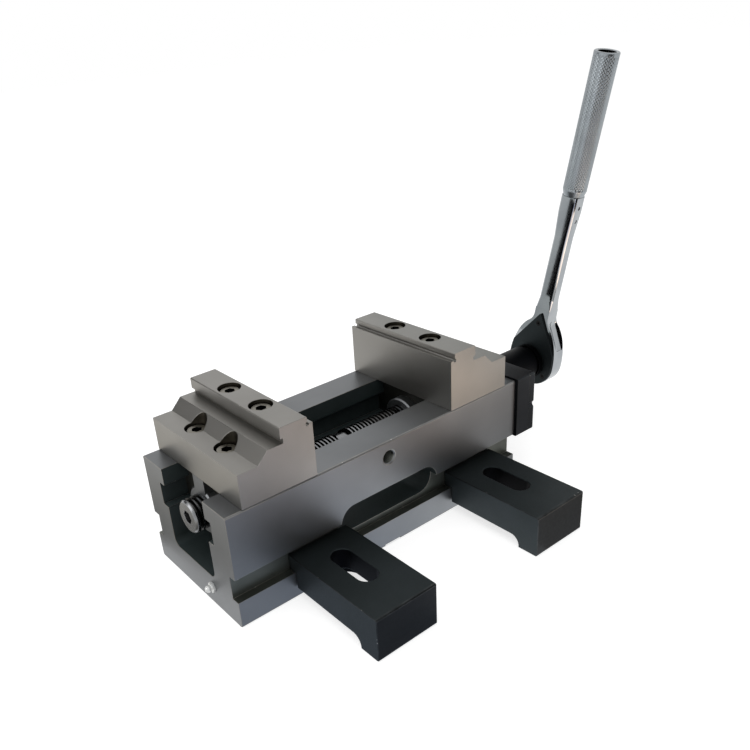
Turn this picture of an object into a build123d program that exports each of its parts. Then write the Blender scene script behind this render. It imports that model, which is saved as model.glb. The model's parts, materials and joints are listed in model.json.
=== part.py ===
from build123d import *
import os
from math import cos, pi, radians, sin, tan

# Self-centering vise, 100 mm wide, with two side clamps and a ratchet wrench on its rear hexagon.
# Millimetres, +Z up. X runs along the body: the open front end with the screw's hex socket is at -X,
# the bearing block and the wrench are at +X. The two jaws close on the plane X = 0, which the
# left-hand and right-hand halves of the screw share. The origin is the middle of the body's underside.

# Vise body
BODY_LENGTH = 242.0
BODY_WIDTH = 100.0
BODY_HEIGHT = 78.0
BODY_CHAMFER = 0.8
CHANNEL_WIDTH = 50.0
CHANNEL_FLOOR = 22.0
CHANNEL_CORNER = 5.0
LIP_HEIGHT = 12.0
TSLOT_HEIGHT = 16.0
TSLOT_DEPTH = 6.0
FLANGE_HEIGHT = 18.5
GROOVE_HEIGHT = 16.5
GROOVE_DEPTH = 6.0
WINDOW_LENGTH = 83.0
WINDOW_HEIGHT = 22.0
WINDOW_SILL = 23.0
STOP_HOLE_DIAMETER = 8.5
STOP_HOLE_DEPTH = 15.0
STOP_HOLE_DROP = 11.6
STOP_HOLE_CHAMFER = 1.0
KEYWAY_WIDTH = 14.0
KEYWAY_DEPTH = 1.5
LOCATING_DIAMETER = 12.0
LOCATING_DEPTH = 12.0
LOCATING_SPACING = 160.0

# Grease nipple, low on the front face
NIPPLE_SIDE = 20.0
NIPPLE_HEIGHT = 13.5
NIPPLE_HEX = 6.5
NIPPLE_HEX_HEIGHT = 1.8
NIPPLE_NECK_DIAMETER = 3.6
NIPPLE_NECK_LENGTH = 0.9
NIPPLE_HEAD_DIAMETER = 4.8
NIPPLE_HEAD_LENGTH = 3.0
NIPPLE_HEAD_ROUNDING = 1.6
NIPPLE_THREAD_DIAMETER = 5.0
NIPPLE_THREAD_LENGTH = 6.0

# Leadscrew
SCREW_DROP = 23.6
SCREW_DIAMETER = 22.0
SCREW_END_INSET = 0.6
SCREW_END_CHAMFER = 1.3
SCREW_RELIEF_DIAMETER = 18.5
SCREW_RELIEF_LENGTH = 10.0
SCREW_SOCKET_AF = 8.0
SCREW_SOCKET_DEPTH = 9.0
JOURNAL_DIAMETER = 24.0
COLLAR_DIAMETER = 32.0
COLLAR_THICKNESS = 4.0
STUB_DIAMETER = 20.0
STUB_SHOULDER = 1.0
HEX_AF = 17.0
HEX_LENGTH = 36.0

# Bearing block with its bush, thrust washers and cover
BLOCK_THICKNESS = 13.0
BLOCK_OVERHANG = 2.3
BLOCK_RISE = 1.4
BLOCK_BELOW_AXIS = 20.6
BLOCK_CHAMFER = 0.8
COVER_THICKNESS = 5.5
COVER_NOTCH_RADIUS = 2.5
BUSH_WALL = 3.0
WASHER_THICKNESS = 1.5
WASHER_DIAMETER = 31.0
BLOCK_BOLT_SPACING_Y = 80.0
BLOCK_BOLT_SPACING_Z = 24.0
BLOCK_BOLT_REACH = 16.0
COVER_SCREW_SPACING_Y = 52.0
COVER_SCREW_SPACING_Z = 28.0
COVER_SCREW_DIAMETER = 5.0
COVER_SCREW_HEAD_DIAMETER = 9.5
COVER_SCREW_REACH = 7.0
COVER_SCREW_SOCKET_AF = 3.0

# Jaws, as wide as the body and measured outwards from the clamping face, which stands back from
# the body's end by the setback
JAW_SETBACK = 64.7
JAW_HEIGHT = 40.1
STEP_DEPTH = 3.6
STEP_HEIGHT = 4.7
STEP_RELIEF_RADIUS = 1.2
UPPER_BLOCK = 19.2
LEDGE_WIDTH = 9.2
LEDGE_HEIGHT = 29.9
LEDGE_RELIEF_DEPTH = 1.8
LEDGE_RELIEF_HEIGHT = 3.0
SLANT = 7.3
LOWER_TOP = 13.7
JAW_CHAMFER = 0.5

# Jaw bolts, dowels and the screw that holds the nut
BOLT_DIAMETER = 8.0
BOLT_HEAD_DIAMETER = 13.0
BOLT_HEAD_HEIGHT = 8.0
BOLT_HEAD_CHAMFER = 0.6
BOLT_SOCKET_AF = 6.0
BOLT_SOCKET_DEPTH = 4.0
BOLT_HOLE_DIAMETER = 8.6
BOLT_SPACING = 35.0
BOLT_REACH = 10.0
COUNTERBORE_DIAMETER = 15.0
LONG_COUNTERBORE_DEPTH = 10.0
SHORT_COUNTERBORE_DEPTH = 9.5
SHORT_BOLT_INSET = 13.3
DOWEL_DIAMETER = 6.0
DOWEL_LENGTH = 16.0
NUT_SCREW_DIAMETER = 6.0
NUT_SCREW_SOCKET_AF = 3.0

# Slides and nuts
SLIDE_OUTER_INSET = 6.0
SLIDE_INNER_INSET = 6.0
SLIDE_BELOW_AXIS = 20.4
SLIDE_CHAMFER = 0.6
NUT_DIAMETER = 32.0
NUT_NOSE = 1.0
NUT_CHAMFER = 1.0
NUT_TONGUE_WIDTH = 13.0
NUT_TONGUE_LENGTH = 14.0

# Clamps
CLAMP_WIDTH = 45.5
CLAMP_REACH = 125.5
TOE_THICKNESS = 11.0
CLAMP_SLAB = 22.0
HEEL_LENGTH = 15.0
HEEL_RADIUS = 6.5
CLAMP_SLOT_WIDTH = 14.0
CLAMP_SLOT_LENGTH = 37.0
CLAMP_SLOT_MARGIN = 27.0
CLAMP_RELIEF_WIDTH = 26.0
CLAMP_RELIEF_LENGTH = 47.0
CLAMP_RELIEF_DEPTH = 7.0
CLAMP_CHAMFER = 0.8
FRONT_CLAMP_SETBACK = 63.6
REAR_CLAMP_SETBACK = 43.7

# Wrench socket on the screw's hexagon
SOCKET_DIAMETER = 28.0
SOCKET_LENGTH = 42.5
SOCKET_ENGAGEMENT = 20.0
SOCKET_GROOVE_WIDTH = 2.5
SOCKET_GROOVE_DEPTH = 1.0
SOCKET_CHAMFER = 1.2

# Ratchet wrench; heights are measured up the handle from the centre of its head
WRENCH_LEAN = 11.3
HEAD_GAP = 1.0
HEAD_RADIUS = 21.3
HEAD_THICKNESS = 13.0
HEAD_ROUNDING = 2.5
HEAD_SLOPE_START = 26.0
NECK_HEIGHT = 46.0
NECK_LENGTH = 14.0
NECK_RISE = 9.0
NECK_WIDTH = 13.2
NECK_ROUNDING = 10.0
SCOOP_RADIUS = 8.0
SCOOP_DEPTH = 1.4
SCOOP_LENGTH = 20.0
SCOOP_HEIGHT = 27.6
SCOOP_SIDE = 13.6
SCOOP_SLANT = 32.0
COVER_PLATE_THICKNESS = 1.5
COVER_PLATE_INSET = 0.5
PLATE_TIP_HEIGHT = 43.0
PLATE_TIP_ANGLE = 32.0
PLATE_TIP_ROUNDING = 1.0
HANDLE_INSET = 7.0
SHANK_WIDTH = 13.2
SHANK_THICKNESS = 10.4
SHANK_ROUNDING = 3.0
WAIST_HEIGHT = 105.5
WAIST_WIDTH = 12.6
WAIST_THICKNESS = 9.9
SWELL_HEIGHT = 125.0
SWELL_WIDTH = 14.4
SWELL_THICKNESS = 11.5
GRIP_START = 137.0
GRIP_TAPER_END = 141.0
GRIP_END = 233.0
GRIP_NECK_DIAMETER = 14.8
GRIP_DIAMETER = 17.0
GRIP_BORE = 12.4
SPIGOT_DIAMETER = 8.0
SPIGOT_LENGTH = 25.0
GRIP_PIN_DIAMETER = 2.6
GRIP_PIN_LENGTH = 13.0
GRIP_PIN_HEIGHTS = (119.0, 129.0)

# Ratchet works inside the head
SQUARE_AF = 12.7
SQUARE_LENGTH = 15.0
SQUARE_CHAMFER = 0.8
GEAR_TEETH = 30
GEAR_DIAMETER = 23.0
GEAR_TOOTH_DEPTH = 1.2
GEAR_THICKNESS = 9.0
GEAR_BOSS_DIAMETER = 18.0
GEAR_SPIGOT_DIAMETER = 12.0
GEAR_SPIGOT_LENGTH = 2.0
GEAR_CAVITY_DIAMETER = 24.4
BALL_DIAMETER = 4.0
BALL_PROUD = 0.8
PAWL_PIN_HEIGHT = 17.0
PAWL_PIN_DIAMETER = 3.5
PAWL_PIN_SEAT = 2.0
PAWL_WIDTH = 16.0
PAWL_LOW_HEIGHT = 9.0
PAWL_BACK_HEIGHT = 20.5
PAWL_GAP = 1.15
PAWL_POCKET_WIDTH = 18.4
PAWL_POCKET_HEIGHT = 23.3
SELECTOR_HEIGHT = 26.5
SELECTOR_PAD_DIAMETER = 15.0
DRUM_DIAMETER = 9.0
SPINDLE_DIAMETER = 6.0
LEVER_THICKNESS = 3.0
LEVER_LENGTH = 16.0
LEVER_WIDTH = 6.0
PLUNGER_DIAMETER = 2.6
PLUNGER_LENGTH = 4.2
PLUNGER_ROUNDING = 0.8
SPRING_LENGTH = 3.0
SPRING_DIAMETER = 2.2
SPRING_WIRE = 0.4
PLATE_SCREW_DIAMETER = 2.5
PLATE_SCREW_HEAD_DIAMETER = 4.6
PLATE_SCREW_REACH = 5.0
PLATE_SCREW_SOCKET_AF = 1.5
PLATE_SCREW_SIDE = 14.5
PLATE_SCREW_DROP = 8.4
PLATE_SCREW_TOP = 34.0

# Clearances
RUNNING = 0.05
GUIDE = 0.1
SOCKET_FIT = 0.1
LOOSE = 0.3
TOE_GAP = 0.5
SLAB_GAP = 1.0
COLLAR_GAP = 0.75
HOLE_RUNOUT = 2.0

# How far a cutting shape runs past the face it opens
OVERCUT = 1.0

# A round shape stands on its base, or hangs from its top, at the place it is given
FROM_BOTTOM = (Align.CENTER, Align.CENTER, Align.MIN)
FROM_TOP = (Align.CENTER, Align.CENTER, Align.MAX)

# Places that several pieces share
HALF_LENGTH = BODY_LENGTH / 2
HALF_WIDTH = BODY_WIDTH / 2
HALF_CHANNEL = CHANNEL_WIDTH / 2
SCREW_Z = BODY_HEIGHT - SCREW_DROP
TSLOT_TOP = BODY_HEIGHT - LIP_HEIGHT
TSLOT_BOTTOM = TSLOT_TOP - TSLOT_HEIGHT
SEAT_Z = BODY_HEIGHT + GUIDE
JAW_LENGTH = STEP_DEPTH + UPPER_BLOCK + LEDGE_WIDTH + SLANT + LOWER_TOP
JAW_INNER = HALF_LENGTH - JAW_SETBACK
JAW_OUTER = JAW_INNER + JAW_LENGTH
LOWER_TOP_Z = SEAT_Z + LEDGE_HEIGHT - SLANT
JAW_TOP_Z = SEAT_Z + JAW_HEIGHT
LONG_BOLT_X = JAW_INNER + STEP_DEPTH + UPPER_BLOCK / 2
SHORT_BOLT_X = JAW_OUTER - SHORT_BOLT_INSET
DOWEL_X = (LONG_BOLT_X + SHORT_BOLT_X) / 2
COLLAR_POCKET = COLLAR_THICKNESS + 2 * WASHER_THICKNESS + 4 * RUNNING
BLOCK_BACK = HALF_LENGTH + BLOCK_THICKNESS
COVER_BACK = BLOCK_BACK + COVER_THICKNESS
POCKET_FRONT = BLOCK_BACK - COLLAR_POCKET
COLLAR_FRONT = POCKET_FRONT + WASHER_THICKNESS + 2 * RUNNING
HEX_FRONT = COVER_BACK + STUB_SHOULDER
HEX_BACK = HEX_FRONT + HEX_LENGTH
SOCKET_FRONT = HEX_BACK - SOCKET_ENGAGEMENT
SOCKET_BACK = SOCKET_FRONT + SOCKET_LENGTH
HEAD_FACE = SOCKET_BACK + HEAD_GAP
HEAD_FRONT = HEAD_FACE + COVER_PLATE_THICKNESS
HEAD_BACK = HEAD_FRONT + HEAD_THICKNESS
HANDLE_X = HEAD_FACE + HANDLE_INSET
GEAR_FRONT = HEAD_FRONT + LOOSE
GEAR_BACK = GEAR_FRONT + GEAR_THICKNESS
CAVITY_BACK = GEAR_BACK + LOOSE
DETENT_X = HEAD_FACE - SQUARE_LENGTH / 2
PLUNGER_TIP = PAWL_BACK_HEIGHT + LOOSE
CLAMP_SEAT = FLANGE_HEIGHT + RUNNING
CLAMP_TOP = CLAMP_SEAT + TOE_THICKNESS
FRONT_CLAMP_X = -HALF_LENGTH + FRONT_CLAMP_SETBACK
REAR_CLAMP_X = HALF_LENGTH - REAR_CLAMP_SETBACK
NECK_START = NECK_HEIGHT - NECK_LENGTH
SHOULDER_HEIGHT = NECK_HEIGHT - NECK_RISE


def box_between(low, high):
    """A box given by its lowest and highest corners."""
    size = [b - a for a, b in zip(low, high)]
    centre = [(a + b) / 2 for a, b in zip(low, high)]
    return Pos(*centre) * Box(*size)


def round_bar(x_start, x_end, diameter, y=0.0, z=0.0):
    """A round bar along X."""
    upright = Cylinder(diameter / 2, x_end - x_start, align=FROM_BOTTOM)
    return Pos(x_start, y, z) * Rot(0, 90, 0) * upright


def hex_bar(x_start, x_end, across_flats, y=0.0, z=0.0):
    """A hexagonal bar along X, with two flats level."""
    outline = Plane.YZ.offset(x_start) * Pos(y, z) * RegularPolygon(across_flats / 2, 6, major_radius=False)
    return extrude(outline, amount=x_end - x_start)


def post(x, y, z_low, z_high, diameter):
    """A round post along Z."""
    upright = Cylinder(diameter / 2, z_high - z_low, align=FROM_BOTTOM)
    return Pos(x, y, z_low) * upright


def chamfered_bar(x_start, x_end, diameter, chamfer_size, z=0.0):
    """A round bar along X with both end edges chamfered."""
    bar = round_bar(x_start, x_end, diameter, z=z)
    return chamfer(bar.edges().filter_by(GeomType.CIRCLE), chamfer_size)


def turned_round(piece):
    """The same piece turned half round about the vertical axis, for the other jaw."""
    return Rot(0, 0, 180) * piece


def body_profile():
    """The cross-section of the body: channel, T-slots and side grooves in a chamfered rectangle."""
    outline = Pos(0, BODY_HEIGHT / 2) * Rectangle(BODY_WIDTH, BODY_HEIGHT)
    outline = chamfer(outline.vertices(), BODY_CHAMFER)
    channel_height = BODY_HEIGHT - CHANNEL_FLOOR
    channel = Pos(0, CHANNEL_FLOOR + channel_height / 2) * Rectangle(CHANNEL_WIDTH, channel_height)
    channel = fillet(channel.vertices().group_by(Axis.Y)[0], CHANNEL_CORNER)
    slots_width = CHANNEL_WIDTH + 2 * TSLOT_DEPTH
    slots = Pos(0, TSLOT_BOTTOM + TSLOT_HEIGHT / 2) * Rectangle(slots_width, TSLOT_HEIGHT)
    section = outline - channel - slots
    for side in (-1, 1):
        groove_y = side * (HALF_WIDTH - GROOVE_DEPTH / 2)
        section -= Pos(groove_y, FLANGE_HEIGHT + GROOVE_HEIGHT / 2) * Rectangle(GROOVE_DEPTH, GROOVE_HEIGHT)
    return section


def side_window():
    """The obround window that runs through both side walls above the flange."""
    middle = WINDOW_SILL + WINDOW_HEIGHT / 2
    outline = Plane.XZ * Pos(0, middle) * SlotOverall(WINDOW_LENGTH, WINDOW_HEIGHT)
    return extrude(outline, amount=BODY_WIDTH, both=True)


def stop_hole(side):
    """The tapped hole for a workpiece stop in one side of the body, with its chamfer."""
    z = BODY_HEIGHT - STOP_HOLE_DROP
    face = side * HALF_WIDTH
    hole = Pos(0, face, z) * Rot(90, 0, 0) * Cylinder(STOP_HOLE_DIAMETER / 2, 2 * STOP_HOLE_DEPTH)
    outer = STOP_HOLE_DIAMETER / 2 + STOP_HOLE_CHAMFER
    cone = Cone(outer - STOP_HOLE_CHAMFER, outer, STOP_HOLE_CHAMFER, align=FROM_TOP)
    return hole + Pos(0, face, z) * Rot(-90 * side, 0, 0) * cone


def block_bolt_places():
    """Y and Z of the four bolts that hold the bearing block."""
    return [
        (y * BLOCK_BOLT_SPACING_Y / 2, SCREW_Z + z * BLOCK_BOLT_SPACING_Z / 2)
        for y in (-1, 1) for z in (-1, 1)
    ]


def cover_screw_places():
    """Y and Z of the four screws that hold the block's cover."""
    return [
        (y * COVER_SCREW_SPACING_Y / 2, SCREW_Z + z * COVER_SCREW_SPACING_Z / 2)
        for y in (-1, 1) for z in (-1, 1)
    ]


def make_body():
    """The ground steel body."""
    body = extrude(Plane.YZ * body_profile(), amount=HALF_LENGTH, both=True)
    body -= side_window()
    for side in (-1, 1):
        body -= stop_hole(side)
    keyway_low = (-KEYWAY_WIDTH / 2, -BODY_WIDTH, -KEYWAY_DEPTH)
    body -= box_between(keyway_low, (KEYWAY_WIDTH / 2, BODY_WIDTH, KEYWAY_DEPTH))
    for side in (-1, 1):
        body -= post(side * LOCATING_SPACING / 2, 0, -OVERCUT, LOCATING_DEPTH, LOCATING_DIAMETER)
    for y, z in block_bolt_places():
        body -= round_bar(HALF_LENGTH - BLOCK_BOLT_REACH - HOLE_RUNOUT, HALF_LENGTH + OVERCUT,
                          BOLT_DIAMETER + 2 * RUNNING, y, z)
    nipple_hole_end = -HALF_LENGTH + NIPPLE_THREAD_LENGTH + HOLE_RUNOUT
    body -= round_bar(-HALF_LENGTH - OVERCUT, nipple_hole_end, NIPPLE_THREAD_DIAMETER + 2 * RUNNING,
                      -NIPPLE_SIDE, NIPPLE_HEIGHT)
    return body


def make_nipple():
    """The grease nipple: thread, hexagon, neck and ball head."""
    y, z = -NIPPLE_SIDE, NIPPLE_HEIGHT
    face = -HALF_LENGTH
    hex_end = face - NIPPLE_HEX_HEIGHT
    neck_end = hex_end - NIPPLE_NECK_LENGTH
    head = round_bar(neck_end - NIPPLE_HEAD_LENGTH, neck_end, NIPPLE_HEAD_DIAMETER, y, z)
    head = fillet(head.edges().filter_by(GeomType.CIRCLE).group_by(Axis.X)[0], NIPPLE_HEAD_ROUNDING)
    nipple = round_bar(face, face + NIPPLE_THREAD_LENGTH, NIPPLE_THREAD_DIAMETER, y, z)
    nipple += hex_bar(hex_end, face, NIPPLE_HEX, y, z)
    nipple += round_bar(neck_end, hex_end, NIPPLE_NECK_DIAMETER, y, z)
    return nipple + head


def make_block():
    """The black bearing block across the rear end, bored for the bush and the collar."""
    half = HALF_WIDTH + BLOCK_OVERHANG
    block = box_between(
        (HALF_LENGTH, -half, SCREW_Z - BLOCK_BELOW_AXIS), (BLOCK_BACK, half, BODY_HEIGHT + BLOCK_RISE))
    block = chamfer(block.edges().filter_by(Axis.X), BLOCK_CHAMFER)
    bush_bore = JOURNAL_DIAMETER + 2 * (BUSH_WALL + RUNNING)
    block -= round_bar(HALF_LENGTH - OVERCUT, BLOCK_BACK, bush_bore + 2 * RUNNING, z=SCREW_Z)
    block -= round_bar(POCKET_FRONT, BLOCK_BACK + OVERCUT, COLLAR_DIAMETER + 2 * COLLAR_GAP, z=SCREW_Z)
    for y, z in block_bolt_places():
        block -= round_bar(HALF_LENGTH - OVERCUT, BLOCK_BACK, BOLT_HOLE_DIAMETER, y, z)
        seat = BLOCK_BACK - BOLT_HEAD_HEIGHT - LOOSE
        block -= round_bar(seat, BLOCK_BACK + OVERCUT, COUNTERBORE_DIAMETER, y, z)
    for y, z in cover_screw_places():
        block -= round_bar(BLOCK_BACK - COVER_SCREW_REACH - LOOSE, BLOCK_BACK + OVERCUT,
                           COVER_SCREW_DIAMETER + 2 * RUNNING, y, z)
    return block


def cap_screw(shank_length):
    """A socket-head cap screw along Z with the underside of its head at Z = 0."""
    screw = post(0, 0, 0, BOLT_HEAD_HEIGHT, BOLT_HEAD_DIAMETER)
    screw = chamfer(screw.edges().group_by(Axis.Z)[-1], BOLT_HEAD_CHAMFER)
    screw += post(0, 0, -shank_length, 0, BOLT_DIAMETER)
    recess = RegularPolygon(BOLT_SOCKET_AF / 2, 6, major_radius=False)
    socket = extrude(recess, amount=BOLT_SOCKET_DEPTH + OVERCUT)
    return screw - Pos(0, 0, BOLT_HEAD_HEIGHT - BOLT_SOCKET_DEPTH) * socket


def make_block_screws():
    """The four cap screws that hold the bearing block on the body."""
    seat = BLOCK_BACK - BOLT_HEAD_HEIGHT - LOOSE
    screw = cap_screw(seat - HALF_LENGTH + BLOCK_BOLT_REACH)
    return [Pos(seat, y, z) * Rot(0, 90, 0) * screw for y, z in block_bolt_places()]


def make_bush():
    """The bronze bush in the bearing block."""
    outer = JOURNAL_DIAMETER + 2 * (BUSH_WALL + RUNNING)
    bush = round_bar(HALF_LENGTH, POCKET_FRONT, outer, z=SCREW_Z)
    bore = JOURNAL_DIAMETER + 2 * RUNNING
    return bush - round_bar(HALF_LENGTH - OVERCUT, POCKET_FRONT + OVERCUT, bore, z=SCREW_Z)


def make_washers():
    """The two thrust washers, one each side of the screw's collar."""
    washers = []
    for start in (POCKET_FRONT, BLOCK_BACK - WASHER_THICKNESS):
        washer = round_bar(start, start + WASHER_THICKNESS, WASHER_DIAMETER, z=SCREW_Z)
        bore = round_bar(start - OVERCUT, BLOCK_BACK + OVERCUT, JOURNAL_DIAMETER + 2 * LOOSE, z=SCREW_Z)
        washers.append(washer - bore)
    return washers


def make_cover():
    """The cover plate behind the bearing block, notched in each side at the screw's height."""
    half = HALF_WIDTH + BLOCK_OVERHANG
    cover = box_between(
        (BLOCK_BACK, -half, SCREW_Z - BLOCK_BELOW_AXIS), (COVER_BACK, half, BODY_HEIGHT + BLOCK_RISE))
    cover = chamfer(cover.edges().filter_by(Axis.X), BLOCK_CHAMFER)
    cover -= round_bar(BLOCK_BACK - OVERCUT, COVER_BACK + OVERCUT, STUB_DIAMETER + 2 * LOOSE, z=SCREW_Z)
    for side in (-1, 1):
        notch_y = side * (half + COVER_NOTCH_RADIUS / 2)
        cover -= round_bar(BLOCK_BACK - OVERCUT, COVER_BACK + OVERCUT, 2 * COVER_NOTCH_RADIUS,
                           notch_y, SCREW_Z)
    for y, z in cover_screw_places():
        hole = countersink(COVER_SCREW_DIAMETER + 2 * LOOSE, COVER_SCREW_HEAD_DIAMETER, COVER_THICKNESS)
        cover -= Pos(COVER_BACK, y, z) * Rot(0, 90, 0) * hole
    return cover


def countersink(diameter, head_diameter, depth):
    """The cutter of a countersunk hole along Z with its mouth at Z = 0."""
    cone_height = (head_diameter - diameter) / 2
    cone = Cone(diameter / 2, head_diameter / 2, cone_height, align=FROM_TOP)
    return cone + post(0, 0, -depth - OVERCUT, OVERCUT, diameter)


def countersunk_screw(diameter, head_diameter, length, socket_af):
    """A countersunk screw along Z, its flat head face at Z = 0 and its shank below."""
    head_height = (head_diameter - diameter) / 2
    screw = Cone(diameter / 2, head_diameter / 2, head_height, align=FROM_TOP)
    screw += post(0, 0, -length, -head_height, diameter)
    recess = RegularPolygon(socket_af / 2, 6, major_radius=False)
    return screw - Pos(0, 0, -head_height) * extrude(recess, amount=2 * head_height)


def make_cover_screws():
    """The four countersunk screws of the block's cover."""
    length = COVER_THICKNESS + COVER_SCREW_REACH
    head = COVER_SCREW_HEAD_DIAMETER - 2 * RUNNING
    screw = countersunk_screw(COVER_SCREW_DIAMETER, head, length, COVER_SCREW_SOCKET_AF)
    return [Pos(COVER_BACK, y, z) * Rot(0, 90, 0) * screw for y, z in cover_screw_places()]


def make_leadscrew():
    """The screw: both threads at their outside diameter, journal, collar and hexagon."""
    start = -HALF_LENGTH + SCREW_END_INSET
    relief_end = SCREW_RELIEF_LENGTH / 2
    front = round_bar(start, -relief_end, SCREW_DIAMETER, z=SCREW_Z)
    front = chamfer(front.edges().filter_by(GeomType.CIRCLE).group_by(Axis.X)[0], SCREW_END_CHAMFER)
    screw = front + round_bar(-relief_end, relief_end, SCREW_RELIEF_DIAMETER, z=SCREW_Z)
    screw += round_bar(relief_end, HALF_LENGTH + RUNNING, SCREW_DIAMETER, z=SCREW_Z)
    screw += round_bar(HALF_LENGTH + RUNNING, COLLAR_FRONT, JOURNAL_DIAMETER, z=SCREW_Z)
    screw += round_bar(COLLAR_FRONT, COLLAR_FRONT + COLLAR_THICKNESS, COLLAR_DIAMETER, z=SCREW_Z)
    screw += round_bar(COLLAR_FRONT + COLLAR_THICKNESS, HEX_FRONT, STUB_DIAMETER, z=SCREW_Z)
    screw += hex_bar(HEX_FRONT, HEX_BACK, HEX_AF, z=SCREW_Z)
    screw -= hex_bar(start - OVERCUT, start + SCREW_SOCKET_DEPTH, SCREW_SOCKET_AF, z=SCREW_Z)
    return screw


def make_socket():
    """The black hexagon socket between the screw and the wrench."""
    socket = chamfered_bar(SOCKET_FRONT, SOCKET_BACK, SOCKET_DIAMETER, SOCKET_CHAMFER, SCREW_Z)
    half_groove = SOCKET_GROOVE_WIDTH / 2
    groove = round_bar(DETENT_X - half_groove, DETENT_X + half_groove, SOCKET_DIAMETER + OVERCUT, z=SCREW_Z)
    groove -= round_bar(SOCKET_FRONT, SOCKET_BACK, SOCKET_DIAMETER - 2 * SOCKET_GROOVE_DEPTH, z=SCREW_Z)
    socket -= groove
    socket -= hex_bar(SOCKET_FRONT - OVERCUT, HEX_BACK + LOOSE, HEX_AF + 2 * SOCKET_FIT, z=SCREW_Z)
    side = SQUARE_AF + 2 * SOCKET_FIT
    hole = Plane.YZ.offset(SOCKET_BACK - SQUARE_LENGTH - LOOSE) * Pos(0, SCREW_Z) * Rectangle(side, side)
    socket -= extrude(hole, amount=SQUARE_LENGTH + LOOSE + OVERCUT)
    return socket - post(DETENT_X, 0, SCREW_Z, SCREW_Z + SOCKET_DIAMETER, BALL_DIAMETER + 2 * LOOSE)


def jaw_profile():
    """The side view of the rear jaw as X and Z, from the clamping face outwards."""
    ledge_z = SEAT_Z + LEDGE_HEIGHT
    block_outer = JAW_INNER + STEP_DEPTH + UPPER_BLOCK
    points = [
        (JAW_INNER, SEAT_Z),
        (JAW_INNER, JAW_TOP_Z - STEP_HEIGHT),
        (JAW_INNER + STEP_DEPTH, JAW_TOP_Z - STEP_HEIGHT),
        (JAW_INNER + STEP_DEPTH, JAW_TOP_Z),
        (block_outer, JAW_TOP_Z),
        (block_outer, ledge_z),
        (block_outer + LEDGE_WIDTH, ledge_z),
        (JAW_OUTER - LOWER_TOP, LOWER_TOP_Z),
        (JAW_OUTER, LOWER_TOP_Z),
        (JAW_OUTER, SEAT_Z),
    ]
    outline = make_face(Polyline(*points, close=True))
    outline = chamfer(outline.vertices().group_by(Axis.Y)[-1], JAW_CHAMFER)
    outline -= Pos(JAW_INNER + STEP_DEPTH, JAW_TOP_Z - STEP_HEIGHT) * Circle(STEP_RELIEF_RADIUS)
    relief = Pos(block_outer - LEDGE_RELIEF_DEPTH / 2, ledge_z + LEDGE_RELIEF_HEIGHT / 2)
    return outline - relief * Rectangle(LEDGE_RELIEF_DEPTH, LEDGE_RELIEF_HEIGHT)


def make_jaw():
    """The rear jaw with its counterbored bolt holes and dowel holes."""
    jaw = extrude(Plane.XZ * jaw_profile(), amount=HALF_WIDTH, both=True)
    for side in (-1, 1):
        y = side * BOLT_SPACING / 2
        for x, top, depth in (
            (LONG_BOLT_X, JAW_TOP_Z, LONG_COUNTERBORE_DEPTH),
            (SHORT_BOLT_X, LOWER_TOP_Z, SHORT_COUNTERBORE_DEPTH),
        ):
            jaw -= post(x, y, SEAT_Z - OVERCUT, top, BOLT_HOLE_DIAMETER)
            jaw -= post(x, y, top - depth, JAW_TOP_Z + OVERCUT, COUNTERBORE_DIAMETER)
        dowel_top = SEAT_Z + DOWEL_LENGTH / 2 + LOOSE
        jaw -= post(DOWEL_X, y, SEAT_Z - OVERCUT, dowel_top, DOWEL_DIAMETER + 2 * RUNNING)
    return jaw


def make_jaw_bolts(x, seat_z):
    """Two cap screws that pull the jaw down on its slide."""
    screw = cap_screw(seat_z - SEAT_Z + BOLT_REACH)
    return [Pos(x, side * BOLT_SPACING / 2, seat_z) * screw for side in (-1, 1)]


def make_dowels():
    """Two dowels between the jaw and its slide."""
    half = DOWEL_LENGTH / 2
    return [
        post(DOWEL_X, side * BOLT_SPACING / 2, SEAT_Z - half, SEAT_Z + half, DOWEL_DIAMETER)
        for side in (-1, 1)
    ]


def make_slide():
    """The T-shaped slide under the jaw, bored along X for the nut."""
    x_start, x_end = JAW_INNER + SLIDE_INNER_INSET, JAW_OUTER - SLIDE_OUTER_INSET
    half = HALF_CHANNEL - GUIDE
    wing = HALF_CHANNEL + TSLOT_DEPTH - GUIDE
    slide = box_between((x_start, -half, SCREW_Z - SLIDE_BELOW_AXIS), (x_end, half, SEAT_Z))
    slide += box_between((x_start, -wing, TSLOT_BOTTOM + GUIDE), (x_end, wing, TSLOT_TOP - GUIDE))
    corners = [e for e in slide.edges().filter_by(Axis.X) if abs(e.center().Y) > wing - GUIDE]
    slide = chamfer(corners, SLIDE_CHAMFER)
    slide = fillet(slide.edges().filter_by(Axis.X).group_by(Axis.Z)[0], CHANNEL_CORNER)
    slide -= round_bar(x_start - OVERCUT, x_end + OVERCUT, NUT_DIAMETER + 2 * RUNNING, z=SCREW_Z)
    tongue_half = NUT_TONGUE_WIDTH / 2 + RUNNING
    tongue_start = JAW_OUTER - NUT_TONGUE_LENGTH - RUNNING
    tongue_low = (tongue_start, -tongue_half, SCREW_Z)
    slide -= box_between(tongue_low, (x_end + OVERCUT, tongue_half, SEAT_Z + OVERCUT))
    for side in (-1, 1):
        y = side * BOLT_SPACING / 2
        for x in (LONG_BOLT_X, SHORT_BOLT_X):
            slide -= post(x, y, SEAT_Z - BOLT_REACH - LOOSE, SEAT_Z + OVERCUT, BOLT_DIAMETER + 2 * RUNNING)
        dowel_bottom = SEAT_Z - DOWEL_LENGTH / 2 - LOOSE
        slide -= post(DOWEL_X, y, dowel_bottom, SEAT_Z + OVERCUT, DOWEL_DIAMETER + 2 * RUNNING)
    return slide - post(DOWEL_X, 0, SCREW_Z, SEAT_Z + OVERCUT, NUT_SCREW_DIAMETER + 2 * RUNNING)


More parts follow.
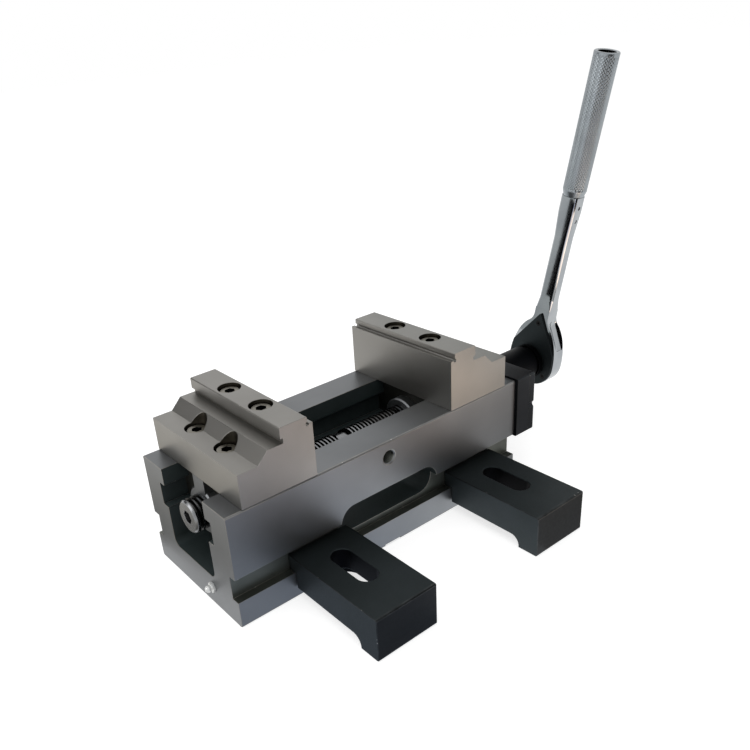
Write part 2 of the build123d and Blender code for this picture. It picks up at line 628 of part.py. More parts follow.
def make_nut():
    """The round nut with its tongue, which stands in the slide and meets the jaw's underside."""
    x_start = JAW_INNER - NUT_NOSE
    nut = chamfered_bar(x_start, JAW_OUTER, NUT_DIAMETER, NUT_CHAMFER, SCREW_Z)
    half = NUT_TONGUE_WIDTH / 2
    nut += box_between((JAW_OUTER - NUT_TONGUE_LENGTH, -half, SCREW_Z), (JAW_OUTER, half, SEAT_Z))
    return nut - round_bar(x_start - OVERCUT, JAW_OUTER + OVERCUT, SCREW_DIAMETER + 2 * RUNNING, z=SCREW_Z)


def make_nut_screw():
    """The grub screw that holds the nut in the slide."""
    top = SEAT_Z - LOOSE
    screw = post(DOWEL_X, 0, SCREW_Z + NUT_DIAMETER / 2 + RUNNING, top, NUT_SCREW_DIAMETER)
    recess = Pos(DOWEL_X, 0) * RegularPolygon(NUT_SCREW_SOCKET_AF / 2, 6, major_radius=False)
    socket = extrude(recess, amount=NUT_SCREW_SOCKET_AF + OVERCUT)
    return screw - Pos(0, 0, top - NUT_SCREW_SOCKET_AF) * socket


def make_clamp(x):
    """A strap clamp: toe in the side groove, obround slot, relief under it and heel on the table."""
    outer = -CLAMP_REACH
    slab_bottom = CLAMP_TOP - CLAMP_SLAB
    slab_inner = -HALF_WIDTH - SLAB_GAP
    toe = -HALF_WIDTH + GROOVE_DEPTH - TOE_GAP
    heel = outer + HEEL_LENGTH
    points = [
        (toe, CLAMP_SEAT), (slab_inner, CLAMP_SEAT), (slab_inner, slab_bottom), (heel, slab_bottom),
        (heel, 0), (outer, 0), (outer, CLAMP_TOP), (toe, CLAMP_TOP),
    ]
    outline = make_face(Polyline(*points, close=True))
    arch = outline.vertices().group_by(Axis.X)[1].group_by(Axis.Y)[-1]
    outline = fillet(arch, HEEL_RADIUS)
    outline = chamfer(outline.vertices().group_by(Axis.X)[0], CLAMP_CHAMFER)
    clamp = extrude(Plane.YZ.offset(x) * outline, amount=CLAMP_WIDTH / 2, both=True)
    slot_centre = outer + CLAMP_SLOT_MARGIN + CLAMP_SLOT_LENGTH / 2
    middle = Pos(x, slot_centre) * Rot(0, 0, 90)
    relief = middle * SlotOverall(CLAMP_RELIEF_LENGTH, CLAMP_RELIEF_WIDTH)
    clamp -= extrude(relief, amount=slab_bottom + CLAMP_RELIEF_DEPTH)
    slot = middle * SlotOverall(CLAMP_SLOT_LENGTH, CLAMP_SLOT_WIDTH)
    return clamp - extrude(slot, amount=CLAMP_TOP + OVERCUT)


def placed(piece):
    """A wrench piece moved from its own upright frame to the leaning wrench on the screw's axis."""
    return Pos(0, 0, SCREW_Z) * Rot(WRENCH_LEAN, 0, 0) * piece


def cross_bar(half_length, diameter, height):
    """A round bar across the handle at a height."""
    return Pos(HANDLE_X, 0, height) * Rot(90, 0, 0) * Cylinder(diameter / 2, 2 * half_length)


def tapered_post(z_low, z_high, low_diameter, high_diameter):
    """A cone up the handle between two heights."""
    cone = Cone(low_diameter / 2, high_diameter / 2, z_high - z_low, align=FROM_BOTTOM)
    return Pos(HANDLE_X, 0, z_low) * cone


def head_outline(inset=0.0):
    """The pear shape of the wrench head: round below, long shoulders above, hollowed into the neck."""
    radius = HEAD_RADIUS - inset
    shoulders = Ellipse(radius, SHOULDER_HEIGHT - inset)
    shoulders = split(shoulders, bisect_by=Plane.XZ, keep=Keep.BOTTOM)
    neck_top = NECK_HEIGHT - inset
    neck = Pos(0, (NECK_START + neck_top) / 2) * Rectangle(NECK_WIDTH - 2 * inset, neck_top - NECK_START)
    outline = Circle(radius) + shoulders + neck
    hollows = outline.vertices().group_by(Axis.Y)[-2]
    return fillet(hollows, NECK_ROUNDING)


def flank_scoop(side):
    """The hollow in one flank of the neck: straight across its lower end and round at its upper end."""
    scoop = Cylinder(SCOOP_RADIUS, SCOOP_LENGTH) + Pos(0, 0, SCOOP_LENGTH / 2) * Sphere(SCOOP_RADIUS)
    axis_y = SCOOP_SIDE + SCOOP_RADIUS - SCOOP_DEPTH
    middle_x = HEAD_FRONT + HEAD_THICKNESS / 2
    return Pos(middle_x, side * axis_y, SCOOP_HEIGHT) * Rot(side * SCOOP_SLANT, 0, 0) * scoop


def make_head():
    """The outside of the wrench head, rounded behind, sloped down to the shank and scooped at the neck."""
    head = extrude(Plane.YZ.offset(HEAD_FRONT) * head_outline(), amount=HEAD_THICKNESS)
    head = fillet(head.faces().sort_by(Axis.X)[-1].edges(), HEAD_ROUNDING)
    shank_back = HANDLE_X + SHANK_THICKNESS / 2
    past_back, past_neck = HEAD_BACK + OVERCUT, NECK_HEIGHT + OVERCUT
    wedge = make_face(Polyline(
        (past_back, HEAD_SLOPE_START), (HEAD_BACK, HEAD_SLOPE_START), (shank_back, NECK_HEIGHT),
        (shank_back, past_neck), (past_back, past_neck), close=True))
    head -= extrude(Plane.XZ * wedge, amount=HEAD_RADIUS, both=True)
    for side in (-1, 1):
        head -= flank_scoop(side)
    return head + round_bar(CAVITY_BACK, HEAD_BACK, SELECTOR_PAD_DIAMETER, z=SELECTOR_HEIGHT)


def shank_section(height, width, thickness):
    """The shank's cross-section at a height."""
    return Plane.XY.offset(height) * Pos(HANDLE_X, 0) * RectangleRounded(thickness, width, SHANK_ROUNDING)


def make_shank():
    """The shank, thinnest at its waist, swelling to the grip and bored for the grip's spigot."""
    neck = shank_section(NECK_START, SHANK_WIDTH, SHANK_THICKNESS)
    waist = shank_section(WAIST_HEIGHT, WAIST_WIDTH, WAIST_THICKNESS)
    swell = shank_section(SWELL_HEIGHT, SWELL_WIDTH, SWELL_THICKNESS)
    shank = loft([neck, waist]) + loft([waist, swell])
    shank += extrude(swell, amount=GRIP_START - SWELL_HEIGHT)
    bore_start = GRIP_START - SPIGOT_LENGTH - LOOSE
    return shank - post(HANDLE_X, 0, bore_start, GRIP_START + OVERCUT, SPIGOT_DIAMETER + 2 * RUNNING)


def plate_screw_places():
    """Local Y and height of the three screws that hold the head's cover plate."""
    low = -PLATE_SCREW_DROP
    return [(-PLATE_SCREW_SIDE, low), (PLATE_SCREW_SIDE, low), (0, PLATE_SCREW_TOP)]


def make_ratchet_body():
    """The chrome-plated forging: head with the cavity for the works, and shank."""
    body = make_head() + make_shank()
    body -= round_bar(HEAD_FRONT - OVERCUT, CAVITY_BACK, GEAR_CAVITY_DIAMETER)
    half_pocket = PAWL_POCKET_WIDTH / 2
    pocket_low = (HEAD_FRONT - OVERCUT, -half_pocket, 0)
    body -= box_between(pocket_low, (CAVITY_BACK, half_pocket, PAWL_POCKET_HEIGHT))
    body -= round_bar(HEAD_FRONT - OVERCUT, CAVITY_BACK, DRUM_DIAMETER + 2 * LOOSE, z=SELECTOR_HEIGHT)
    spindle_hole = SPINDLE_DIAMETER + 2 * RUNNING
    body -= round_bar(CAVITY_BACK - OVERCUT, HEAD_BACK + OVERCUT, spindle_hole, z=SELECTOR_HEIGHT)
    spigot_end = GEAR_BACK + GEAR_SPIGOT_LENGTH + LOOSE
    body -= round_bar(CAVITY_BACK - OVERCUT, spigot_end, GEAR_SPIGOT_DIAMETER + 2 * RUNNING)
    body -= round_bar(CAVITY_BACK - OVERCUT, CAVITY_BACK + PAWL_PIN_SEAT, PAWL_PIN_DIAMETER + 2 * RUNNING,
                      z=PAWL_PIN_HEIGHT)
    for y, height in plate_screw_places():
        body -= round_bar(HEAD_FRONT - OVERCUT, HEAD_FRONT + PLATE_SCREW_REACH + LOOSE,
                          PLATE_SCREW_DIAMETER + 2 * RUNNING, y, height)
    for height in GRIP_PIN_HEIGHTS:
        body -= cross_bar(GRIP_DIAMETER, GRIP_PIN_DIAMETER + 2 * RUNNING, height)
    return placed(body)


def plate_outline():
    """The cover plate's outline: the head's, drawn in a little and brought to a point above."""
    half_base = (PLATE_TIP_HEIGHT + HEAD_RADIUS) * tan(radians(PLATE_TIP_ANGLE))
    base = [(-half_base, -HEAD_RADIUS), (half_base, -HEAD_RADIUS)]
    wedge = make_face(Polyline(*base, (0, PLATE_TIP_HEIGHT), close=True))
    outline = head_outline(COVER_PLATE_INSET) & wedge
    return fillet(outline.vertices().group_by(Axis.Y)[-1], PLATE_TIP_ROUNDING)


def make_cover_plate():
    """The black plate that closes the wrench head."""
    plate = extrude(Plane.YZ.offset(HEAD_FACE) * plate_outline(), amount=COVER_PLATE_THICKNESS)
    plate -= round_bar(HEAD_FACE - OVERCUT, HEAD_FRONT + OVERCUT, GEAR_BOSS_DIAMETER + 2 * RUNNING)
    hole = countersink(PLATE_SCREW_DIAMETER + 2 * RUNNING, PLATE_SCREW_HEAD_DIAMETER, COVER_PLATE_THICKNESS)
    for y, height in plate_screw_places():
        plate -= Pos(HEAD_FACE, y, height) * Rot(0, -90, 0) * hole
    return placed(plate)


def make_plate_screws():
    """The three countersunk screws of the cover plate."""
    length = COVER_PLATE_THICKNESS + PLATE_SCREW_REACH
    head = PLATE_SCREW_HEAD_DIAMETER - 2 * RUNNING
    screw = countersunk_screw(PLATE_SCREW_DIAMETER, head, length, PLATE_SCREW_SOCKET_AF)
    return [placed(Pos(HEAD_FACE, y, h) * Rot(0, -90, 0) * screw) for y, h in plate_screw_places()]


def make_pawl_pin():
    """The pin the pawl rocks on."""
    return placed(round_bar(HEAD_FRONT, CAVITY_BACK + PAWL_PIN_SEAT, PAWL_PIN_DIAMETER, z=PAWL_PIN_HEIGHT))


def make_grip():
    """The hollow grip tube with its tapered neck and the spigot that stands in the shank."""
    grip = tapered_post(GRIP_START, GRIP_TAPER_END, GRIP_NECK_DIAMETER, GRIP_DIAMETER)
    grip += post(HANDLE_X, 0, GRIP_TAPER_END, GRIP_END, GRIP_DIAMETER)
    grip += post(HANDLE_X, 0, GRIP_START - SPIGOT_LENGTH, GRIP_START, SPIGOT_DIAMETER)
    grip -= post(HANDLE_X, 0, GRIP_TAPER_END, GRIP_END + OVERCUT, GRIP_BORE)
    for height in GRIP_PIN_HEIGHTS:
        grip -= cross_bar(GRIP_DIAMETER, GRIP_PIN_DIAMETER + 2 * RUNNING, height)
    return placed(grip)


def make_grip_pins():
    """The two cross pins through the shank and the grip's spigot."""
    half = GRIP_PIN_LENGTH / 2
    return [placed(cross_bar(half, GRIP_PIN_DIAMETER, height)) for height in GRIP_PIN_HEIGHTS]


def gear_outline():
    """The pointed ratchet teeth of the drive gear, as one closed outline."""
    tip = GEAR_DIAMETER / 2
    points = []
    for i in range(2 * GEAR_TEETH):
        radius = tip - (i % 2) * GEAR_TOOTH_DEPTH
        angle = pi * i / GEAR_TEETH
        points.append((radius * cos(angle), radius * sin(angle)))
    return make_face(Polyline(*points, close=True))


def make_gear():
    """The drive gear with its bearing boss, rear spigot and square drive."""
    gear = extrude(Plane.YZ.offset(GEAR_FRONT) * gear_outline(), amount=GEAR_THICKNESS)
    gear += round_bar(HEAD_FACE, GEAR_FRONT, GEAR_BOSS_DIAMETER)
    gear += round_bar(GEAR_BACK, GEAR_BACK + GEAR_SPIGOT_LENGTH, GEAR_SPIGOT_DIAMETER)
    square = Rectangle(SQUARE_AF, SQUARE_AF)
    square = chamfer(square.vertices(), SQUARE_CHAMFER)
    gear += extrude(Plane.YZ.offset(HEAD_FACE - SQUARE_LENGTH) * square, amount=SQUARE_LENGTH)
    hole_bottom = SQUARE_AF / 2 + BALL_PROUD - BALL_DIAMETER
    gear -= post(DETENT_X, 0, hole_bottom, SQUARE_AF, BALL_DIAMETER + 2 * RUNNING)
    return Pos(0, 0, SCREW_Z) * gear


def make_ball():
    """The detent ball in the square drive."""
    centre = SCREW_Z + SQUARE_AF / 2 + BALL_PROUD - BALL_DIAMETER / 2
    return Pos(DETENT_X, 0, centre) * Sphere(BALL_DIAMETER / 2)


def make_pawl():
    """The rocking pawl, hollowed on the gear's side and drilled for its pin."""
    half = PAWL_WIDTH / 2
    outline = Pos(0, (PAWL_LOW_HEIGHT + PAWL_BACK_HEIGHT) / 2) * Rectangle(
        PAWL_WIDTH, PAWL_BACK_HEIGHT - PAWL_LOW_HEIGHT)
    outline -= Circle(GEAR_DIAMETER / 2 + PAWL_GAP)
    pawl = extrude(Plane.YZ.offset(GEAR_FRONT) * outline, amount=GEAR_THICKNESS)
    pin_hole = PAWL_PIN_DIAMETER + 2 * RUNNING
    pawl -= round_bar(GEAR_FRONT - OVERCUT, GEAR_BACK + OVERCUT, pin_hole, z=PAWL_PIN_HEIGHT)
    return placed(pawl)


def make_drum():
    """The selector's drum and spindle, drilled crosswise for the plunger and its spring."""
    drum = round_bar(GEAR_FRONT, GEAR_BACK, DRUM_DIAMETER, z=SELECTOR_HEIGHT)
    lever_back = HEAD_BACK + LOOSE + LEVER_THICKNESS
    drum += round_bar(GEAR_BACK, lever_back, SPINDLE_DIAMETER, z=SELECTOR_HEIGHT)
    hole_top = PLUNGER_TIP + PLUNGER_LENGTH + SPRING_LENGTH
    middle = (GEAR_FRONT + GEAR_BACK) / 2
    drum -= post(middle, 0, PLUNGER_TIP, hole_top, PLUNGER_DIAMETER + 2 * RUNNING)
    return placed(drum)


def make_lever():
    """The selector's thumb lever on the back of the head."""
    front = HEAD_BACK + LOOSE
    back = front + LEVER_THICKNESS
    lever = round_bar(front, back, SELECTOR_PAD_DIAMETER, z=SELECTOR_HEIGHT)
    half = LEVER_WIDTH / 2
    tip = SELECTOR_HEIGHT - LEVER_LENGTH
    lever += box_between((front, -half, tip), (back, half, SELECTOR_HEIGHT))
    lever += round_bar(front, back, LEVER_WIDTH, z=tip)
    lever -= round_bar(front - OVERCUT, back + OVERCUT, SPINDLE_DIAMETER + 2 * RUNNING, z=SELECTOR_HEIGHT)
    return placed(lever)


def make_plunger():
    """The plunger that presses on the back of the pawl."""
    middle = (GEAR_FRONT + GEAR_BACK) / 2
    plunger = post(middle, 0, PLUNGER_TIP, PLUNGER_TIP + PLUNGER_LENGTH, PLUNGER_DIAMETER)
    return placed(fillet(plunger.edges().group_by(Axis.Z)[0], PLUNGER_ROUNDING))


def make_spring():
    """The plunger's spring, as the sleeve its coils fill."""
    middle = (GEAR_FRONT + GEAR_BACK) / 2
    low = PLUNGER_TIP + PLUNGER_LENGTH
    high = low + SPRING_LENGTH
    spring = post(middle, 0, low, high, SPRING_DIAMETER)
    return placed(spring - post(middle, 0, low - OVERCUT, high + OVERCUT, SPRING_DIAMETER - 2 * SPRING_WIRE))


def jaw_set():
    """The pieces of the rear jaw, which the front jaw repeats turned half round."""
    return {
        "slide": make_slide(),
        "nut": make_nut(),
        "nut_screw": make_nut_screw(),
        "jaw": make_jaw(),
        "jaw_long_bolts": make_jaw_bolts(LONG_BOLT_X, JAW_TOP_Z - LONG_COUNTERBORE_DEPTH),
        "jaw_short_bolts": make_jaw_bolts(SHORT_BOLT_X, LOWER_TOP_Z - SHORT_COUNTERBORE_DEPTH),
        "jaw_dowels": make_dowels(),
    }


def save(name, piece):
    """Write one node: a single piece, or a list of identical pieces that share it."""
    solids = piece if isinstance(piece, list) else [piece]
    shape = Compound(children=solids) if len(solids) > 1 else solids[0]
    shape.label = name
    export_step(shape, os.path.join("parts", name + ".step"))


def main():
    """Build every node of the vise and write it as a STEP file."""
    os.makedirs("parts", exist_ok=True)
    for name, piece in jaw_set().items():
        save("rear_" + name, piece)
        pieces = piece if isinstance(piece, list) else [piece]
        turned = [turned_round(p) for p in pieces]
        save("front_" + name, turned if len(turned) > 1 else turned[0])
    save("vise_body", make_body())
    save("grease_nipple", make_nipple())
    save("bearing_block", make_block())
    save("block_screws", make_block_screws())
    save("bearing_bush", make_bush())
    save("thrust_washers", make_washers())
    save("block_cover", make_cover())
    save("cover_screws", make_cover_screws())
    save("leadscrew", make_leadscrew())
    save("wrench_socket", make_socket())
    save("front_clamp", make_clamp(FRONT_CLAMP_X))
    save("rear_clamp", make_clamp(REAR_CLAMP_X))
    save("ratchet_body", make_ratchet_body())
    save("ratchet_cover", make_cover_plate())
    save("ratchet_cover_screws", make_plate_screws())
    save("pawl_pin", make_pawl_pin())
    save("grip_tube", make_grip())
    save("grip_pins", make_grip_pins())
    save("drive_gear", make_gear())
    save("drive_ball", make_ball())
    save("ratchet_pawl", make_pawl())
    save("selector_drum", make_drum())
    save("selector_lever", make_lever())
    save("selector_plunger", make_plunger())
    save("selector_spring", make_spring())


main()
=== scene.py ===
"""A self-centering vise with side clamps and a ratchet wrench, dressed for its picture.

Every machined piece is finished from its solid with softened edges, and the threads, the knurl,
the spring and the grease nipple are modelled here. Lengths are in metres in the scene; values
that end in _mm are millimetres.
"""

import json
import logging
import math
from dataclasses import dataclass, field
from enum import Enum
from functools import cache
from typing import Callable, Optional, Sequence

import bpy
from bpy.types import Material, Node, NodeSocket, NodeTree, Object
from mathutils import Matrix, Vector


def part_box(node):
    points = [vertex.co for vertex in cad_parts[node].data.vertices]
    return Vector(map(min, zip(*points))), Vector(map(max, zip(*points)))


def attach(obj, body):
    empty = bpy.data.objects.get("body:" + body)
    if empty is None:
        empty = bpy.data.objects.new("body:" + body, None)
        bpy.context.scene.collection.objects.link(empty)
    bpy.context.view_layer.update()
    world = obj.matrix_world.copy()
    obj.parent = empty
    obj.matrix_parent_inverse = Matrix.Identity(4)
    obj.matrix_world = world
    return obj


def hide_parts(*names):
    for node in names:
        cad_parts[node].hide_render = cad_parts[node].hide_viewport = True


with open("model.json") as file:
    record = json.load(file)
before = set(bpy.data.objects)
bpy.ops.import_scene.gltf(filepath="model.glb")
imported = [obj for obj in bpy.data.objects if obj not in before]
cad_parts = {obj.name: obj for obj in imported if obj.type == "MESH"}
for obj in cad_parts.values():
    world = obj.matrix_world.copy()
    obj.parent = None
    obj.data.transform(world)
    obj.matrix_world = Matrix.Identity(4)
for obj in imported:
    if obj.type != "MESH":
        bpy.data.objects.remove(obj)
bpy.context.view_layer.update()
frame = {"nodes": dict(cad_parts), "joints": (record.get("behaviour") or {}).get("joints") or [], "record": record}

LOG = logging.getLogger("vise")
MM = 0.001

# Points closer than these are one, in pieces made here and in the solids.
WELD = MM / 200
SOLID_WELD = MM / 500
# Triangles that bend less than this between them are one flat face.
FLAT_DEG = 0.4
# How far the large faces rule the shading.
LARGE_FACE_WEIGHT = 60
# The share of an axis in a face's normal from which it looks roughly, or squarely, along it.
FACING = 0.3
SQUARE_ON = 0.9
# Edges sharper than these stay sharp, on turned and on rounded pieces.
TURNED_DEG = 38.0
ROUND_DEG = 50.0
# Noise levels between which patches fade in and the grain moves the roughness.
PATCH_FROM, PATCH_TO = 0.35, 0.7
GRAIN_FROM, GRAIN_TO = 0.25, 0.75
# Rise of the noise across a worn spot's rim.
CHIP_RIM = 0.05
# Blender's numbers for the sockets of a node that mixes colours.
FIRST_COLOUR, SECOND_COLOUR, MIXED_COLOUR = 6, 7, 2

Point = tuple[float, float]
Sorter = Callable[[Vector, Vector], int]


class End(Enum):
    """The two ends of the body, which carry one jaw each."""

    FRONT = "front"
    REAR = "rear"


class Hand(Enum):
    """Which way a thread runs round its axis."""

    RIGHT = 1
    LEFT = -1


def linear(colour: str) -> tuple[float, float, float, float]:
    """Turn an sRGB hex colour to linear values.

    Args:
        colour: A hash and six hex digits.

    Returns:
        Red, green, blue and an alpha of one.
    """
    values = [int(colour[start:start + 2], 16) / 255 for start in (1, 3, 5)]
    channels = [value / 12.92 if value <= 0.04045 else ((value + 0.055) / 1.055) ** 2.4 for value in values]
    return (channels[0], channels[1], channels[2], 1.0)


def add_node(tree: NodeTree, kind: str, inputs: Optional[dict] = None, **settings) -> Node:
    """Add a shader node with its settings and links.

    Args:
        tree: The material's node tree.
        kind: Blender's name for the node, without "ShaderNode".
        inputs: Input name or index to a value or an output socket.
        settings: The node's own properties.

    Returns:
        The new node.
    """
    node = tree.nodes.new("ShaderNode" + kind)
    for key, value in settings.items():
        setattr(node, key, value)
    for key, value in (inputs or {}).items():
        if isinstance(value, NodeSocket):
            tree.links.new(value, node.inputs[key])
        else:
            node.inputs[key].default_value = value
    return node


def empty_material(name: str) -> Material:
    """Make a material whose node tree is empty.

    Args:
        name: The material's name.

    Returns:
        The new material.
    """
    material = bpy.data.materials.new(name)
    material.use_nodes = True
    material.node_tree.nodes.clear()
    return material


def mixed(tree: NodeTree, share: NodeSocket, first: object, second: object) -> NodeSocket:
    """Mix two colours or sockets and return the mixed colour's socket."""
    inputs = {"Factor": share, FIRST_COLOUR: first, SECOND_COLOUR: second}
    return add_node(tree, "Mix", inputs, data_type="RGBA").outputs[MIXED_COLOUR]


def ray_kinds(tree: NodeTree) -> tuple[Node, NodeSocket]:
    """Return a light path node and a socket that is one for rays seen straight or in a mirror."""
    ray = add_node(tree, "LightPath")
    return ray, add_node(tree, "Math", {0: ray.outputs["Is Camera Ray"], 1: ray.outputs["Is Glossy Ray"]},
                         operation="MAXIMUM").outputs[0]


@dataclass(frozen=True)
class Finish:
    """A metal surface with grain, cloudy patches and a slight relief.

    Attributes:
        name: The finish in a maker's words.
        colour: Main sRGB colour.
        second: Colour of the patches and smears.
        metallic: One for bare or plated metal.
        roughness: Middle roughness.
        spread: How far the grain moves the roughness each way.
        grain_mm: Size of the grain along X, Y and Z.
        relief_mm: Height of the grain.
        patch_mm: Size of the cloudy patches.
        chip: Colour of small worn spots; none when empty.
        chip_mm: Size of the worn spots.
        chip_reach: Noise level from which a spot is worn; lower means more spots.
    """

    name: str
    colour: str
    second: str
    metallic: float = 1.0
    roughness: float = 0.35
    spread: float = 0.05
    grain_mm: tuple[float, float, float] = (1.2, 1.2, 1.2)
    relief_mm: float = 0.001
    patch_mm: float = 40.0
    chip: str = ""
    chip_mm: float = 2.0
    chip_reach: float = 0.66

    @cache
    def build(self) -> Material:
        """Make the Blender material once; pieces with the same finish share it.

        Returns:
            The finished material.
        """
        material = empty_material(self.name)
        material.diffuse_color = linear(self.colour)
        tree = material.node_tree
        place = add_node(tree, "TexCoord").outputs["Object"]
        stretch = Vector([1 / (size * MM) for size in self.grain_mm])
        grained = add_node(tree, "Mapping", {"Vector": place, "Scale": stretch})
        grain = add_node(tree, "TexNoise",
                         {"Vector": grained.outputs[0], "Scale": 1.0, "Detail": 4.0, "Roughness": 0.65})
        patches = add_node(tree, "TexNoise",
                           {"Vector": place, "Scale": 1 / (self.patch_mm * MM), "Detail": 3.0})
        shade = add_node(tree, "MapRange",
                         {"Value": patches.outputs[0], "From Min": PATCH_FROM, "From Max": PATCH_TO})
        tint = mixed(tree, shade.outputs[0], linear(self.colour), linear(self.second))
        if self.chip:
            spots = add_node(tree, "TexNoise",
                             {"Vector": place, "Scale": 1 / (self.chip_mm * MM), "Detail": 2.0})
            worn = add_node(tree, "MapRange", {
                "Value": spots.outputs[0], "From Min": self.chip_reach,
                "From Max": self.chip_reach + CHIP_RIM})
            tint = mixed(tree, worn.outputs[0], tint, linear(self.chip))
        gloss = add_node(tree, "MapRange", {
            "Value": grain.outputs[0], "From Min": GRAIN_FROM, "From Max": GRAIN_TO,
            "To Min": self.roughness - self.spread, "To Max": self.roughness + self.spread})
        relief = add_node(tree, "Bump", {"Distance": self.relief_mm * MM, "Height": grain.outputs[0]})
        shader = add_node(tree, "BsdfPrincipled", {
            "Base Color": tint, "Metallic": self.metallic, "Roughness": gloss.outputs[0],
            "Normal": relief.outputs[0]})
        add_node(tree, "OutputMaterial", {"Surface": shader.outputs[0]})
        return material


# Surface grinding leaves fine straight lines along the body and a soft, slightly blurred sheen.
# The lines of a real wheel are 0.05 mm apart, too fine to show, so they are drawn 0.8 mm apart.
GROUND_STEEL = Finish("ground_body_steel", "#7a7c7e", "#727476", roughness=0.42, spread=0.015,
                      grain_mm=(30.0, 0.8, 0.8))
# The jaws are hardened and ground finer across their width, and look warmer and lighter.
JAW_STEEL = Finish("ground_jaw_steel", "#8e8c88", "#868480", roughness=0.4, spread=0.015,
                   grain_mm=(0.8, 30.0, 0.8), relief_mm=0.0006)
# Milled grooves were never ground: darker, rougher, with short cutter marks along the travel.
MILLED_STEEL = Finish("milled_steel", "#6a6d68", "#5c5f5a", roughness=0.46,
                      grain_mm=(6.0, 1.2, 1.2), relief_mm=0.01, patch_mm=25.0)
# The channel keeps the blackening bath's skin, since no wheel reaches it.
BLACKENED_CHANNEL = Finish("blackened_channel", "#343d3e", "#2c3535", metallic=0.3, roughness=0.5,
                           grain_mm=(8.0, 1.5, 1.5), relief_mm=0.004, patch_mm=30.0)
# The slides are phosphated: a dull olive grey that holds the oil.
PHOSPHATED_SLIDE = Finish("phosphated_slide", "#454540", "#3a3a36", roughness=0.5, spread=0.06,
                          relief_mm=0.008, patch_mm=12.0)
# Counterbores are drilled and oiled: brownish, dark and scored round the axis. The same finish paints the shade in
# the joint under each jaw.
BORED_STEEL_AND_JOINT_SHADE = Finish("bored_steel_and_joint_shade", "#4a463e", "#39362f", roughness=0.42, spread=0.08,
                     grain_mm=(6.0, 6.0, 0.7), relief_mm=0.012, patch_mm=6.0)
# Black oxide over machined steel: nearly black, satin, with faint lighter clouds.
BLACK_OXIDE = Finish("black_oxide", "#2c3234", "#262c2d", metallic=0.85, roughness=0.5, spread=0.04,
                     grain_mm=(1.6, 1.6, 1.6), relief_mm=0.006, patch_mm=30.0)
# Where the strap was sawn off, the oxide took darker.
SAWN_OXIDE = Finish("black_oxide_on_sawn_steel", "#15181a", "#101315", metallic=0.85, roughness=0.55,
                    spread=0.04, grain_mm=(1.6, 1.6, 1.6), relief_mm=0.006, patch_mm=20.0)
# The impact socket's thick phosphate swallows the light; on the straps' slot walls the same near-black is painted
# shade.
PHOSPHATE_AND_SLOT_SHADE = Finish("black_phosphate_and_slot_shade", "#0c0d10", "#090a0c", roughness=0.55, spread=0.04,
                          relief_mm=0.004, patch_mm=12.0)
# The bearing block's oxide is thinner over a ground face and reads as a dark slate.
SLATE_OXIDE = Finish("thin_black_oxide", "#292b2f", "#232528", roughness=0.42, spread=0.03,
                     grain_mm=(1.6, 12.0, 1.6), relief_mm=0.01, patch_mm=24.0)
# Along handled edges the oxide thins to grey and is chipped to bare steel in a few spots.
RUBBED_EDGE = Finish("rubbed_black_edge", "#2c2f30", "#3d4041", roughness=0.36, spread=0.08,
                     patch_mm=9.0, chip="#8d8c88", chip_mm=2.4, chip_reach=0.68)
# A broken edge on ground steel catches light from many sides: its lighter colour is a painted highlight, and small
# bright nicks of bare steel are worn into it.
PAINTED_EDGE_HIGHLIGHT = Finish("broken_edge_painted_highlight", "#8f8d88", "#7c7a76", roughness=0.32, spread=0.04,
                     grain_mm=(3.0, 3.0, 3.0), patch_mm=12.0, chip="#d9d8d2", chip_mm=2.0, chip_reach=0.69)
# The thread is turned and oiled: mid grey with rings round the axis.
THREAD_STEEL = Finish("turned_thread_steel", "#8c8d8f", "#757678", roughness=0.25, spread=0.06,
                      grain_mm=(0.6, 9.0, 9.0), relief_mm=0.006, patch_mm=14.0)
# The thread's root between the crests is coloured much darker than the crests.
DARK_THREAD_ROOT = Finish("dark_thread_root", "#2a2a28", "#1f1f1e", roughness=0.4, spread=0.08,
                    grain_mm=(0.6, 6.0, 6.0), patch_mm=8.0)
# Cap screws in the jaws: the top of the head is painted light grey as a painted highlight.
BOLT_TOP_HIGHLIGHT = Finish("cap_screw_top_highlight", "#8c8981", "#77736a", roughness=0.36,
                    grain_mm=(1.0, 1.0, 1.0), patch_mm=6.0)
# Hardened screws keep their dark, slightly brown finish where nothing rubs them.
DARK_SCREW = Finish("hardened_screw_steel", "#2b2b2b", "#1d1d1d", roughness=0.4, spread=0.07,
                    grain_mm=(1.0, 1.0, 1.0), patch_mm=6.0)
# Bright turned steel of pins, gear and washers, with fine rings from the tool.
BRIGHT_STEEL = Finish("bright_turned_steel", "#a3a4a6", "#8d8e90", roughness=0.24,
                      grain_mm=(0.8, 6.0, 6.0), patch_mm=10.0)
# Chrome plate over a polished forging: mirror-like with the forging's slight ripple.
CHROME = Finish("polished_chrome_plate", "#a6aaac", "#989ca0", roughness=0.1, spread=0.03,
                grain_mm=(5.0, 5.0, 7.0), relief_mm=0.01, patch_mm=18.0)
# On the knurl the plate looks greyer, because every diamond's flanks reflect another way. A real
# knurl's rows are about 1 mm apart; here they are 1.2 mm apart, so that they still show.
KNURLED_CHROME = Finish("chrome_on_knurl", "#969ca0", "#8a9094", roughness=0.34, patch_mm=20.0)
# Zinc plate of the grease nipple: pale, bluish white and a little cloudy.
ZINC_PLATE = Finish("zinc_plate", "#e6e6e4", "#d6d8d8", metallic=0.6, roughness=0.42, spread=0.04,
                    grain_mm=(1.0, 1.0, 1.0), patch_mm=3.0)
# The bush's bearing bronze, warm yellow among the steels.
BRONZE = Finish("bearing_bronze", "#a07c3c", "#8a6a34", roughness=0.34, spread=0.06,
                grain_mm=(1.0, 5.0, 5.0), patch_mm=8.0)


def coat(piece: Object, *finishes: Finish) -> None:
    """Give a piece its finishes, one material slot for each."""
    for finish in finishes:
        piece.data.materials.append(finish.build())


